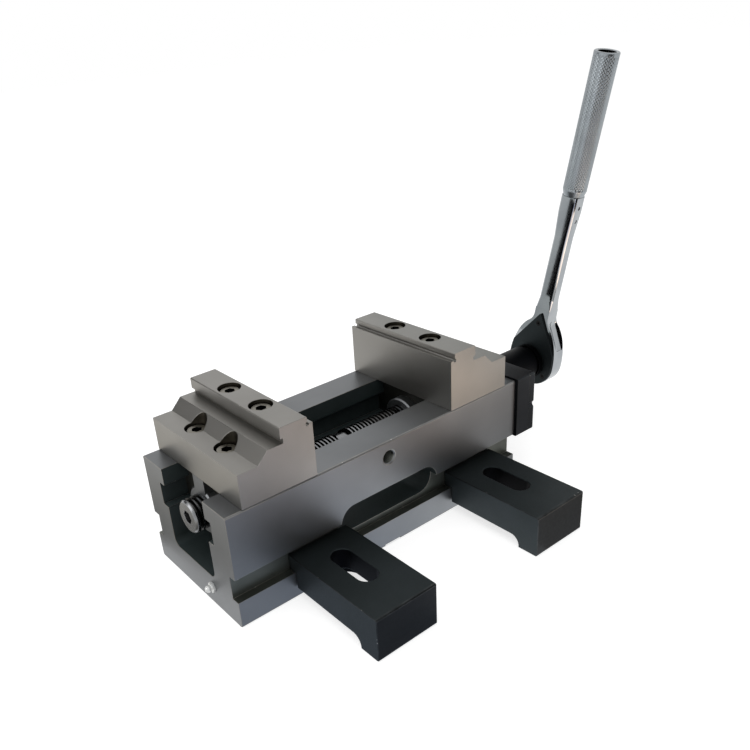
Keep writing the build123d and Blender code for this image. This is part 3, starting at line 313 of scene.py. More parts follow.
def deselect_all() -> None:
    """Clear the selection, so that operators act on the new piece alone."""
    bpy.ops.object.select_all(action="DESELECT")


def make_active(piece: Object) -> None:
    """Select one piece alone and make it the active one."""
    deselect_all()
    piece.select_set(True)
    bpy.context.view_layer.objects.active = piece


def edit_whole(piece: Object) -> None:
    """Enter edit mode on one piece with all of its mesh selected."""
    make_active(piece)
    bpy.ops.object.mode_set(mode="EDIT")
    bpy.ops.mesh.select_all(action="SELECT")


def leave_edit() -> None:
    """Go back to object mode."""
    bpy.ops.object.mode_set(mode="OBJECT")


def apply_modifier(piece: Object, kind: str, **settings) -> None:
    """Add a modifier, set it and apply it.

    Args:
        piece: The piece to change.
        kind: Blender's name for the modifier.
        settings: The modifier's own properties.
    """
    make_active(piece)
    bpy.ops.object.modifier_add(type=kind)
    modifier = piece.modifiers[-1]
    for key, value in settings.items():
        setattr(modifier, key, value)
    bpy.ops.object.modifier_apply(modifier=modifier.name)


def finish_shading(piece: Object, crease_deg: float) -> None:
    """Smooth the shading across soft angles and let the large faces rule the normals."""
    make_active(piece)
    bpy.ops.object.shade_smooth_by_angle(angle=math.radians(crease_deg))
    apply_modifier(piece, "WEIGHTED_NORMAL", keep_sharp=True, weight=LARGE_FACE_WEIGHT)


def place_piece(piece: Object, turn: Matrix, place: Vector) -> None:
    """Turn and move a piece, with the result kept in its mesh.

    Args:
        piece: The piece, modelled about the origin with its axis along Z.
        turn: Rotation, as a 3 by 3 matrix.
        place: Where the piece's own origin goes.
    """
    make_active(piece)
    piece.matrix_world = Matrix.Translation(place) @ turn.to_4x4()
    bpy.ops.object.transform_apply()


def joined(name: str, pieces: Sequence[Object]) -> Object:
    """Join several meshes into the first of them, under a new name."""
    make_active(pieces[0])
    for piece in pieces[1:]:
        piece.select_set(True)
    bpy.ops.object.join()
    pieces[0].name = name
    return pieces[0]


def draw_profile(name: str, points: Sequence[Point]) -> Object:
    """Draw an open profile by extruding one point along it.

    Args:
        name: The piece's name.
        points: Radius and height of each corner, in millimetres.

    Returns:
        The piece, with the profile in its XZ plane.
    """
    deselect_all()
    bpy.ops.mesh.primitive_plane_add(size=MM, location=(0, 0, 0))
    piece = bpy.context.object
    piece.name = name
    edit_whole(piece)
    bpy.ops.mesh.merge(type="CENTER")
    bpy.ops.transform.translate(value=(points[0][0] * MM, 0, points[0][1] * MM))
    for (radius, height), (next_radius, next_height) in zip(points, points[1:]):
        step = ((next_radius - radius) * MM, 0, (next_height - height) * MM)
        bpy.ops.mesh.extrude_region_move(TRANSFORM_OT_translate={"value": step})
    leave_edit()
    return piece


def weld(piece: Object) -> None:
    """Merge a piece's double points and turn its faces outwards."""
    edit_whole(piece)
    bpy.ops.mesh.remove_doubles(threshold=WELD)
    bpy.ops.mesh.normals_make_consistent(inside=False)
    leave_edit()


def lathe(name: str, points: Sequence[Point], steps: int) -> Object:
    """Spin a profile round the Z axis into a closed turned piece."""
    piece = draw_profile(name, points)
    edit_whole(piece)
    bpy.ops.mesh.spin(steps=steps, angle=math.tau, center=(0, 0, 0), axis=(0, 0, 1))
    leave_edit()
    weld(piece)
    return piece


def wind(piece: Object, pitch_mm: float, turns: int, hand: Hand, steps: int) -> None:
    """Wind a profile up the Z axis by whole turns.

    Args:
        piece: The profile.
        pitch_mm: Rise of one turn.
        turns: Number of turns.
        hand: Right-hand or left-hand.
        steps: Segments in one turn.
    """
    apply_modifier(piece, "SCREW", axis="Z", angle=hand.value * math.tau, screw_offset=pitch_mm * MM,
                   iterations=turns, steps=steps, render_steps=steps, use_merge_vertices=True,
                   merge_threshold=WELD)
    weld(piece)


def cut_off(piece: Object, point: Vector, normal: Vector) -> None:
    """Cut a piece by a plane, drop what lies on the normal's side and close the cut."""
    edit_whole(piece)
    bpy.ops.mesh.bisect(plane_co=point, plane_no=normal, use_fill=True, clear_outer=True)
    leave_edit()


def trim(piece: Object, low_mm: Optional[float], high_mm: Optional[float]) -> None:
    """Cut a piece square at those ends along X that are given."""
    for end_mm, way in ((low_mm, -1), (high_mm, 1)):
        if end_mm is not None:
            cut_off(piece, Vector((end_mm * MM, 0, 0)), Vector((way, 0, 0)))


def copy_solid(node: str, finishes: Sequence[Finish], sorter: Optional[Sorter] = None) -> Object:
    """Copy a solid's mesh, merge its loose triangles and give it its finishes.

    Args:
        node: The solid's name.
        finishes: One finish for each material slot.
        sorter: Picks the slot of a face from its middle and its normal.

    Returns:
        The new piece.
    """
    mesh = frame["nodes"][node].data.copy()
    mesh.materials.clear()
    piece = bpy.data.objects.new(node + "_finished", mesh)
    bpy.context.scene.collection.objects.link(piece)
    coat(piece, *finishes)
    make_active(piece)
    bpy.ops.mesh.customdata_custom_splitnormals_clear()
    edit_whole(piece)
    bpy.ops.mesh.remove_doubles(threshold=SOLID_WELD)
    bpy.ops.mesh.dissolve_limited(angle_limit=math.radians(FLAT_DEG))
    leave_edit()
    for face in mesh.polygons:
        face.material_index = sorter(face.center, face.normal) if sorter else 0
    return piece


def dress(node: str, body: str, finishes: Sequence[Finish], bevel_mm: float = 0.0, edge_slot: int = -1,
          crease_deg: float = 32.0, sorter: Optional[Sorter] = None, rounds: int = 2) -> Object:
    """Finish a solid with softened edges and let it stand for the solid.

    Args:
        node: The solid's name.
        body: The moving body it rides on.
        finishes: One finish for each material slot.
        bevel_mm: Width of the broken edge; none when zero.
        edge_slot: Material slot of the broken edge, or -1 to follow its faces.
        crease_deg: Edges sharper than this are broken and shaded sharp.
        sorter: Picks the slot of a face from its middle and its normal.
        rounds: Segments across a broken edge.

    Returns:
        The finished piece.
    """
    piece = copy_solid(node, finishes, sorter)
    if bevel_mm:
        apply_modifier(piece, "BEVEL", width=bevel_mm * MM, segments=rounds, limit_method="ANGLE",
                       angle_limit=math.radians(crease_deg), material=edge_slot, use_clamp_overlap=True)
    finish_shading(piece, crease_deg)
    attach(piece, body)
    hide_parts(node)
    LOG.info("%s: %d faces", piece.name, len(piece.data.polygons))
    return piece


def dress_small(node: str, body: str, finish: Finish, bevel_mm: float) -> None:
    """Finish a small piece in one finish, with its turned edges broken."""
    dress(node, body, [finish], bevel_mm=bevel_mm, crease_deg=TURNED_DEG)


def repaint(piece: Object, chooser: Callable[[Vector, int], int]) -> None:
    """Give each face the slot that the chooser picks from its middle and its present slot."""
    for face in piece.data.polygons:
        face.material_index = chooser(face.center, face.material_index)


def place_of(name: str, entries: Sequence[dict]) -> Vector:
    """Return where the joint or mount of a name lies."""
    return Vector(next(entry for entry in entries if entry["name"] == name)["pos_m"])


AXIS_POINT = place_of("screw_spin", frame["joints"])
ALONG_X = Matrix.Rotation(math.pi / 2, 3, "Y")


@dataclass
class GroundBody:
    """The vise body and its stop-hole threads."""

    edge_mm: float = 0.35
    face_reach_mm: float = 0.9
    groove_depth_mm: float = 6.5
    groove_top_mm: float = 35.2
    thread_major_mm: float = 4.24
    thread_crest_mm: float = 3.85
    thread_pitch_mm: float = 1.5
    thread_turns: int = 8
    thread_steps: int = 28
    thread_inset_mm: float = 1.1
    thread_crease_deg: float = 30.0
    box: tuple[Vector, Vector] = field(init=False)

    def __post_init__(self) -> None:
        """Read the body's reach once."""
        self.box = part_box("vise_body")

    def face_slot(self, middle: Vector, normal: Vector) -> int:
        """Pick ground, blackened or milled for a face of the body.

        Args:
            middle: The face's centre.
            normal: The face's direction.

        Returns:
            0 for ground outer faces, 1 for the blackened channel, 2 for milled grooves.
        """
        low, high = self.box
        reach = self.face_reach_mm * MM
        for i in range(3):
            at_low = middle[i] < low[i] + reach and normal[i] < -FACING
            at_high = middle[i] > high[i] - reach and normal[i] > FACING
            if at_low or at_high:
                return 0
        sunk = abs(middle.y) > high.y - self.groove_depth_mm * MM and abs(middle.x) < high.x
        return 2 if sunk and middle.z < self.groove_top_mm * MM else 1

    def build(self) -> None:
        """Make the body and the threads of its stop holes."""
        # Slot 3 is the painted highlight along the body's broken edges.
        dress("vise_body", "base", [GROUND_STEEL, BLACKENED_CHANNEL, MILLED_STEEL, PAINTED_EDGE_HIGHLIGHT],
              bevel_mm=self.edge_mm, edge_slot=3, sorter=self.face_slot)
        hole = place_of("clamp_side_stop_hole", frame["record"]["mounts"])
        for name, side in (("near", -1), ("far", 1)):
            self.stop_thread(name, side, Vector((0, side * self.box[1].y, hole.z)))

    def stop_thread(self, name: str, side: int, mouth: Vector) -> None:
        """Line a stop hole with its thread.

        Args:
            name: Which side the hole is on.
            side: -1 for the clamp side, 1 for the far side.
            mouth: Centre of the hole's mouth.
        """
        half = self.thread_pitch_mm / 2
        major, crest = self.thread_major_mm, self.thread_crest_mm
        profile = [(major, 0), (crest, half), (major, 2 * half)]
        piece = draw_profile(f"stop_thread_{name}", profile)
        wind(piece, self.thread_pitch_mm, self.thread_turns, Hand.RIGHT, self.thread_steps)
        edit_whole(piece)
        bpy.ops.mesh.flip_normals()
        leave_edit()
        coat(piece, MILLED_STEEL)
        inward = Matrix.Rotation(side * math.pi / 2, 3, "X")
        place_piece(piece, inward, mouth - Vector((0, side * self.thread_inset_mm * MM, 0)))
        finish_shading(piece, self.thread_crease_deg)
        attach(piece, "base")


@dataclass
class GreaseNipple:
    """The grease nipple: hexagon, neck and ball head; the mouth's points are radius and depth."""

    hexagon_mm: float = 1.8
    corner_mm: float = 3.7
    collar_mm: float = 2.4
    fillet_mm: float = 0.4
    neck_mm: float = 1.8
    ball_mm: float = 2.4
    neck_end_mm: float = 1.9
    ball_deg: tuple[int, ...] = (-42, -20, 0, 20, 40, 58)
    mouth_mm: tuple[Point, ...] = ((0.9, 0.15), (0.55, 0.5), (0.4, 0.25), (0, 0.15))
    edge_mm: float = 0.25
    steps: int = 40
    crease_deg: float = 35.0

    def outline(self, length: float) -> list[Point]:
        """Draw the turned part's profile.

        Args:
            length: Height from the body's face to the tip, in millimetres.

        Returns:
            Radius and height of each corner, in millimetres.
        """
        middle = length - self.ball_mm
        angles = [math.radians(angle) for angle in self.ball_deg]
        arc = [(self.ball_mm * math.cos(t), middle + self.ball_mm * math.sin(t)) for t in angles]
        mouth = [(radius, length - depth) for radius, depth in self.mouth_mm]
        foot = [(0, 0), (self.collar_mm, 0), (self.collar_mm, self.hexagon_mm),
                (self.neck_mm, self.hexagon_mm + self.fillet_mm), (self.neck_mm, middle - self.neck_end_mm)]
        return foot + arc + mouth

    def build(self) -> None:
        """Turn the nipple, put its hexagon round it and set it in the body's front face."""
        low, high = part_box("grease_nipple")
        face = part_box("vise_body")[0].x
        head = lathe("nipple_head", self.outline((face - low.x) / MM), self.steps)
        deselect_all()
        thickness = self.hexagon_mm * MM
        bpy.ops.mesh.primitive_cylinder_add(vertices=6, radius=self.corner_mm * MM, depth=thickness,
                                            location=(0, 0, thickness / 2))
        nut = bpy.context.object
        apply_modifier(nut, "BEVEL", width=self.edge_mm * MM, segments=2, limit_method="ANGLE")
        piece = joined("grease_nipple_turned", [head, nut])
        coat(piece, ZINC_PLATE)
        middle = (low + high) / 2
        place_piece(piece, Matrix.Rotation(-math.pi / 2, 3, "Y"), Vector((face, middle.y, middle.z)))
        finish_shading(piece, self.crease_deg)
        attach(piece, "base")
        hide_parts("grease_nipple")


@dataclass
class JawCarriage:
    """One jaw with its slide, nut, nut screw, bolts and dowels."""

    end: End
    edge_mm: float = 0.4
    bore_reach_mm: float = 7.7
    head_height_mm: float = 8.0
    seats: list[Vector] = field(default_factory=list)

    def build(self) -> None:
        """Finish every piece of the carriage."""
        name = self.end.value
        body = f"{name}_carriage"
        for bolts in (f"{name}_jaw_long_bolts", f"{name}_jaw_short_bolts"):
            self.seats += self.bolt_seats(bolts)
            # The tops of the heads are painted light as a painted highlight.
            dress(bolts, body, [BOLT_TOP_HIGHLIGHT, DARK_SCREW], bevel_mm=0.25, crease_deg=TURNED_DEG,
                  sorter=self.head_slot)
        # The jaw's broken edges take the painted highlight in slot 2.
        jaw = dress(f"{name}_jaw", body, [JAW_STEEL, BORED_STEEL_AND_JOINT_SHADE, PAINTED_EDGE_HIGHLIGHT], bevel_mm=self.edge_mm,
                    edge_slot=2, sorter=self.jaw_slot)
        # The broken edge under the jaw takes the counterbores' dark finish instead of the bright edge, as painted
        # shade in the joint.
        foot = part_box("vise_body")[1].z + self.edge_mm * MM
        repaint(jaw, lambda middle, slot: 1 if slot == 2 and middle.z < foot else slot)
        dress(f"{name}_slide", body, [PHOSPHATED_SLIDE], bevel_mm=self.edge_mm)
        dress_small(f"{name}_nut", body, GROUND_STEEL, 0.2)
        dress_small(f"{name}_nut_screw", body, DARK_SCREW, 0.15)
        dress_small(f"{name}_jaw_dowels", body, BRIGHT_STEEL, 0.3)

    def bolt_seats(self, node: str) -> list[Vector]:
        """Return the middle of the seat under each of a node's two bolt heads."""
        low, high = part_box(node)
        radius = (high.x - low.x) / 2
        seat_z = high.z - self.head_height_mm * MM
        return [Vector((low.x + radius, y, seat_z)) for y in (low.y + radius, high.y - radius)]

    def jaw_slot(self, middle: Vector, normal: Vector) -> int:
        """Pick bored steel for the walls and floors of the bolt holes and ground steel elsewhere."""
        for seat in self.seats:
            near = math.hypot(middle.x - seat.x, middle.y - seat.y) < self.bore_reach_mm * MM
            upright = abs(normal.z) < 1 - SQUARE_ON
            if near and (upright or abs(middle.z - seat.z) < MM / 2):
                return 1
        return 0

    def head_slot(self, middle: Vector, normal: Vector) -> int:
        """Pick the painted highlight for the top of a bolt's head and dark steel for its socket and shank."""
        top = max(seat.z for seat in self.seats[-2:]) + self.head_height_mm * MM
        return 0 if normal.z > FACING and middle.z > top - MM else 1


@dataclass
class Leadscrew:
    """The screw with its right-hand front half and left-hand rear half."""

    pitch_mm: float = 3.0
    crest_radius_mm: float = 11.0
    root_radius_mm: float = 9.25
    crest_mm: float = 1.03
    flank_mm: float = 0.47
    front_start_mm: float = -118.0
    relief_mm: float = 5.0
    rear_end_mm: float = 119.0
    spare_turns: int = 2
    steps: int = 36
    edge_mm: float = 0.3
    crease_deg: float = 34.0

    def half(self, name: str, start_mm: float, end_mm: float, hand: Hand) -> Object:
        """Wind one threaded half and cut its ends square.

        Args:
            name: The piece's name.
            start_mm: X of its front end.
            end_mm: X of its rear end.
            hand: Which way it is threaded.

        Returns:
            The closed threaded bar, on the screw's axis.
        """
        root, crest = self.root_radius_mm, self.crest_radius_mm
        top = self.flank_mm + self.crest_mm
        profile = [(root, 0), (crest, self.flank_mm), (crest, top), (root, top + self.flank_mm),
                   (root, self.pitch_mm)]
        piece = draw_profile(name, profile)
        turns = math.ceil((end_mm - start_mm) / self.pitch_mm) + self.spare_turns
        wind(piece, self.pitch_mm, turns, hand, self.steps)
        place_piece(piece, ALONG_X, AXIS_POINT + Vector(((start_mm - self.pitch_mm) * MM, 0, 0)))
        trim(piece, start_mm, end_mm)
        self.darken_root(piece)
        return piece

    def darken_root(self, piece: Object) -> None:
        """Give the crests the turned finish and the root between them the darker one."""
        coat(piece, THREAD_STEEL, DARK_THREAD_ROOT)
        low_radius = (self.root_radius_mm + self.crest_radius_mm) / 2 * MM
        for face in piece.data.polygons:
            out = face.center - AXIS_POINT
            face.material_index = 1 if math.hypot(out.y, out.z) < low_radius else 0

    def build(self) -> None:
        """Join the threaded halves to the plain ends and the middle band of the solid."""
        plain = []
        spans = ((None, self.front_start_mm), (-self.relief_mm, self.relief_mm), (self.rear_end_mm, None))
        for low, high in spans:
            piece = copy_solid("leadscrew", [THREAD_STEEL])
            trim(piece, low, high)
            apply_modifier(piece, "BEVEL", width=self.edge_mm * MM, segments=2, limit_method="ANGLE",
                           angle_limit=math.radians(TURNED_DEG))
            plain.append(piece)
        halves = [
            self.half("front_thread", self.front_start_mm, -self.relief_mm, Hand.RIGHT),
            self.half("rear_thread", self.relief_mm, self.rear_end_mm, Hand.LEFT),
        ]
        piece = joined("leadscrew_threaded", plain + halves)
        finish_shading(piece, self.crease_deg)
        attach(piece, "screw")
        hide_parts("leadscrew")


@dataclass
class BearingEnd:
    """The black block, its cover and what runs inside."""

    edge_mm: float = 0.4

    def build(self) -> None:
        """Finish the block's pieces."""
        for node in ("bearing_block", "block_cover"):
            dress(node, "base", [SLATE_OXIDE, RUBBED_EDGE], bevel_mm=self.edge_mm, edge_slot=1)
        dress_small("block_screws", "base", DARK_SCREW, 0.2)
        dress_small("cover_screws", "base", DARK_SCREW, 0.2)
        dress_small("bearing_bush", "base", BRONZE, 0.2)
        dress_small("thrust_washers", "base", BRIGHT_STEEL, 0.15)


@dataclass
class StrapClamp:
    """One black strap clamp."""

    end: End
    edge_mm: float = 0.7
    slot_reach_mm: float = 13.5
    slot_inset_mm: float = 5.0
    box: tuple[Vector, Vector] = field(init=False)

    def __post_init__(self) -> None:
        """Read the strap's reach once."""
        self.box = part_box(f"{self.end.value}_clamp")

    def in_slot(self, middle: Vector) -> bool:
        """Tell whether a point lies within the slot's or its relief's outline."""
        low, high = self.box
        inset = self.slot_inset_mm * MM
        near_middle = abs(middle.x - (low.x + high.x) / 2) < self.slot_reach_mm * MM
        return near_middle and low.y + inset < middle.y < high.y - inset

    def strap_slot(self, middle: Vector, normal: Vector) -> int:
        """Pick a darker oxide for the sawn end and a near-black painted shade for the slot's walls."""
        # The slot's walls are painted near-black as painted shade.
        if self.in_slot(middle) and abs(normal.z) < SQUARE_ON:
            return 3
        return 2 if normal.y < -SQUARE_ON else 0

    def build(self) -> None:
        """Finish the strap with worn edges round it and a plain rim round its slot."""
        name = self.end.value
        finishes = [BLACK_OXIDE, RUBBED_EDGE, SAWN_OXIDE, PHOSPHATE_AND_SLOT_SHADE]
        strap = dress(f"{name}_clamp", f"{name}_strap", finishes, bevel_mm=self.edge_mm, edge_slot=1,
                      rounds=3, sorter=self.strap_slot)
        repaint(strap, lambda middle, slot: 0 if slot == 1 and self.in_slot(middle) else slot)


@dataclass
class RatchetWrench:
    """The wrench with its works, its knurled grip and the socket it drives."""

    grip_mm: float = 17.0
    neck_mm: float = 14.8
    taper_mm: float = 4.0
    bore_mm: float = 12.4
    spigot_mm: float = 25.0
    knurl_round: int = 26
    knurl_rows_mm: float = 1.2
    knurl_depth_mm: float = 0.2
    knurl_lead_mm: float = 0.4
    plain_end_mm: float = 1.2
    foot_edge_mm: float = 0.3
    shoulder_mm: Point = (0.1, 0.2)
    mouth_edge_mm: float = 0.5
    bore_edge_mm: Point = (0.3, 0.4)
    bore_reach_mm: float = 0.5
    grip_crease_deg: float = 12.0
    spring_mm: float = 1.1
    wire_mm: float = 0.2
    wire_round: int = 8
    spring_turns: int = 5
    spring_steps: int = 20
    blend_mm: tuple[tuple[float, ...], ...] = (
        (45.0, 1.48, 12.32, 6.62, 0.6),
        (57.0, 2.05, 11.95, 6.35, 3.0),
    )
    blend_segments: int = 4
    handle: Vector = field(init=False)
    centre: Vector = field(init=False)
    lean: Matrix = field(init=False)

    def __post_init__(self) -> None:
        """Read the wrench's place and lean from its joints."""
        self.centre = place_of("wrench_swing", frame["joints"])
        up = place_of("selector_turn", frame["joints"]) - self.centre
        up.x = 0
        self.handle = up.normalized()
        self.lean = Matrix.Rotation(math.atan2(-self.handle.y, self.handle.z), 3, "X")

    def build(self) -> None:
        """Finish every piece of the wrench."""
        body = dress("ratchet_body", "wrench", [CHROME], bevel_mm=0.4, crease_deg=34, rounds=3)
        self.neck_blend(body)
        dress("ratchet_cover", "wrench", [BLACK_OXIDE, RUBBED_EDGE], bevel_mm=0.3, edge_slot=1)
        dress_small("ratchet_cover_screws", "wrench", DARK_SCREW, 0.1)
        dress_small("pawl_pin", "wrench", BRIGHT_STEEL, 0.2)
        dress_small("grip_pins", "wrench", BRIGHT_STEEL, 0.3)
        dress_small("wrench_socket", "screw", PHOSPHATE_AND_SLOT_SHADE, 0.3)
        dress_small("drive_gear", "screw", BRIGHT_STEEL, 0.15)
        dress("drive_ball", "screw", [BRIGHT_STEEL], crease_deg=60)
        dress_small("ratchet_pawl", "pawl", BRIGHT_STEEL, 0.2)
        dress_small("selector_drum", "selector", BRIGHT_STEEL, 0.2)
        dress("selector_lever", "selector", [CHROME], bevel_mm=0.5, crease_deg=TURNED_DEG, rounds=3)
        dress("selector_plunger", "selector", [BRIGHT_STEEL], crease_deg=60)
        self.grip()
        self.spring()

    def neck_blend(self, body: Object) -> None:
        """Let the neck's square corners run out into the shank's round ones, as in a forging.

        Each ring of blend_mm has its height, its front and back, half its width and its corners' radius.

        Args:
            body: The finished ratchet body, which takes the blend in.
        """
        rings = []
        for height, front, back, half, radius in self.blend_mm:
            deselect_all()
            bpy.ops.mesh.primitive_plane_add(size=MM, location=((front + back) / 2 * MM, 0, height * MM))
            ring = bpy.context.object
            ring.scale = (back - front, 2 * half, 1)
            bpy.ops.object.transform_apply()
            edit_whole(ring)
            bpy.ops.mesh.bevel(offset=radius * MM, segments=self.blend_segments, affect="VERTICES")
            bpy.ops.mesh.delete(type="ONLY_FACE")
            leave_edit()
            rings.append(ring)
        blend = joined("neck_blend", rings)
        edit_whole(blend)
        bpy.ops.mesh.bridge_edge_loops()
        bpy.ops.mesh.select_all(action="SELECT")
        bpy.ops.mesh.fill_holes(sides=0)
        bpy.ops.mesh.normals_make_consistent(inside=False)
        leave_edit()
        coat(blend, CHROME)
        place_piece(blend, self.lean, self.centre)
        finish_shading(blend, ROUND_DEG)
        joined(body.name, [body, blend])

    def heights(self, node: str) -> tuple[float, float]:
        """Return how far up the handle a node starts and ends, in metres."""
        vertices = frame["nodes"][node].data.vertices
        reach = [(vertex.co - self.centre).dot(self.handle) for vertex in vertices]
        return min(reach), max(reach)

    def grip(self) -> None:
        """Turn the grip tube, roll a diamond knurl on it and keep the solid's drilled spigot."""
        low, high = self.heights("grip_tube")
        end = high / MM
        start = low / MM + self.spigot_mm
        taper_end = start + self.taper_mm
        radius, neck, bore = self.grip_mm / 2, self.neck_mm / 2, self.bore_mm / 2
        knurl_start, knurl_end = taper_end + self.knurl_lead_mm, end - self.plain_end_mm
        rows = round((knurl_end - knurl_start) / self.knurl_rows_mm)
        step = (knurl_end - knurl_start) / rows
        foot = [(0, start), (neck - self.foot_edge_mm, start), (neck, start + self.foot_edge_mm),
                (radius - self.shoulder_mm[0], taper_end - self.shoulder_mm[1]), (radius, knurl_start)]
        knurl = [(radius, knurl_start + i * step) for i in range(1, rows + 1)]
        mouth = [(radius, end - self.mouth_edge_mm), (radius - self.mouth_edge_mm, end),
                 (bore + self.bore_edge_mm[0], end), (bore, end - self.bore_edge_mm[1]),
                 (bore, taper_end), (0, taper_end)]
        tube = lathe("grip_tube_turned", foot + knurl + mouth, 2 * self.knurl_round)
        self.roll_knurl(tube, knurl_start, step, rows, radius)
        coat(tube, CHROME, KNURLED_CHROME)
        bore_wall = bore + self.bore_reach_mm
        repaint(tube, lambda middle, slot: 1 if math.hypot(middle.x, middle.y) / MM > bore_wall else 0)
        middle_x = sum(corner.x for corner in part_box("grip_tube")) / 2
        place_piece(tube, self.lean, Vector((middle_x, self.centre.y, self.centre.z)))
        spigot = copy_solid("grip_tube", [CHROME, KNURLED_CHROME])
        cut_off(spigot, self.centre + self.handle * (start * MM), self.handle)
        piece = joined("grip_knurled", [tube, spigot])
        finish_shading(piece, self.grip_crease_deg)
        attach(piece, "wrench")
        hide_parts("grip_tube")

    def roll_knurl(self, piece: Object, start: float, step: float, rows: int, radius: float) -> None:
        """Press every other point of the knurled band inwards, so that diamonds stand between them.

        Args:
            piece: The turned grip, still upright at the origin.
            start: Height of the band's first row, in millimetres.
            step: Height from row to row.
            rows: Number of rows.
            radius: Outside radius of the band.
        """
        edit_whole(piece)
        bpy.ops.mesh.select_all(action="DESELECT")
        leave_edit()
        for vertex in piece.data.vertices:
            x, y, z = vertex.co / MM
            row = round((z - start) / step)
            inside_band = 0 < row < rows and abs(start + row * step - z) < step / 10
            column = round(math.atan2(y, x) / math.tau * 2 * self.knurl_round)
            outside = math.hypot(x, y) > radius - self.knurl_depth_mm / 2
            vertex.select = bool(inside_band and outside and (row + column) % 2)
        bpy.ops.object.mode_set(mode="EDIT")
        bpy.ops.mesh.select_mode(type="VERT")
        shrink = 1 - self.knurl_depth_mm / radius
        bpy.ops.transform.resize(value=(shrink, shrink, 1), center_override=(0, 0, 0))
        bpy.ops.mesh.select_all(action="SELECT")
        bpy.ops.mesh.quads_convert_to_tris(quad_method="SHORTEST_DIAGONAL")
        leave_edit()

    def spring(self) -> None:
        """Wind the plunger's spring."""
        points = [vertex.co for vertex in frame["nodes"]["selector_spring"].data.vertices]
        middle = sum(points, Vector()) / len(points)
        low, high = self.heights("selector_spring")
        wire = self.wire_mm
        deselect_all()
        start = ((self.spring_mm - wire) * MM, 0, 0)
        bpy.ops.mesh.primitive_circle_add(vertices=self.wire_round, radius=wire * MM, location=start,
                                          rotation=(math.pi / 2, 0, 0))
        piece = bpy.context.object
        piece.name = "selector_spring_wound"
        bpy.ops.object.transform_apply()
        rise = ((high - low) / MM - 2 * wire) / self.spring_turns
        wind(piece, rise, self.spring_turns, Hand.RIGHT, self.spring_steps)
        coat(piece, BRIGHT_STEEL)
        foot = middle - self.handle * ((high - low) / 2 - wire * MM)
        place_piece(piece, self.lean, foot)
        finish_shading(piece, ROUND_DEG)
        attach(piece, "selector")
        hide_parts("selector_spring")


@dataclass(frozen=True)
class Card:
    """A card that only polished metal sees, as a photographer uses to shape reflections.

    Attributes:
        name: The card's name.
        middle: Its centre, in metres.
        size: Its width and its height or depth.
        near: sRGB colour of its lower or nearer edge.
        far: sRGB colour of the opposite edge.
        turn: Tilt about X, then turn about Z, in degrees.
        strength: Brightness.
        lean_deg: Lean of an upright card within its own plane.
    """

    name: str
    middle: tuple[float, float, float]
    size: tuple[float, float]
    near: str
    far: str
    turn: tuple[float, float] = (0.0, 0.0)
    strength: float = 1.0
    lean_deg: float = 0.0

    def build(self) -> None:
        """Hang the card with its gradient running from its lower edge to its upper one."""
        deselect_all()
        tilt, about, lean = (math.radians(v) for v in (*self.turn, self.lean_deg))
        bpy.ops.mesh.primitive_plane_add(size=1, location=self.middle, rotation=(tilt, lean, about))
        card = bpy.context.object
        card.name = self.name
        card.scale = (self.size[0], self.size[1], 1)
        material = empty_material(self.name + "_paint")
        tree = material.node_tree
        place = add_node(tree, "TexCoord").outputs["Object"]
        along = add_node(tree, "SeparateXYZ", {"Vector": place}).outputs["Y"]
        share = add_node(tree, "MapRange", {"Value": along, "From Min": -0.5, "From Max": 0.5})
        tint = mixed(tree, share.outputs[0], linear(self.near), linear(self.far))
        glow = add_node(tree, "Emission", {"Color": tint, "Strength": self.strength})
        add_node(tree, "OutputMaterial", {"Surface": glow.outputs[0]})
        card.data.materials.append(material)
        for rays in ("camera", "diffuse", "transmission", "shadow"):
            setattr(card, f"visible_{rays}", False)


@dataclass(frozen=True)
class Lamp:
    """A soft square lamp, its size in metres and power in watts; metal mirrors it if it shines."""

    name: str
    place: tuple[float, float, float]
    size: float
    power: float
    shines: bool
    target: tuple[float, float, float] = (0, 0, 0.05)

    def build(self) -> None:
        """Hang the lamp and point it."""
        deselect_all()
        bpy.ops.object.light_add(type="AREA", location=self.place)
        lamp = bpy.context.object
        lamp.name = self.name
        lamp.data.size = self.size
        lamp.data.energy = self.power
        lamp.visible_glossy = self.shines
        aim = Vector(self.target) - Vector(self.place)
        lamp.rotation_euler = aim.to_track_quat("-Z", "Y").to_euler()


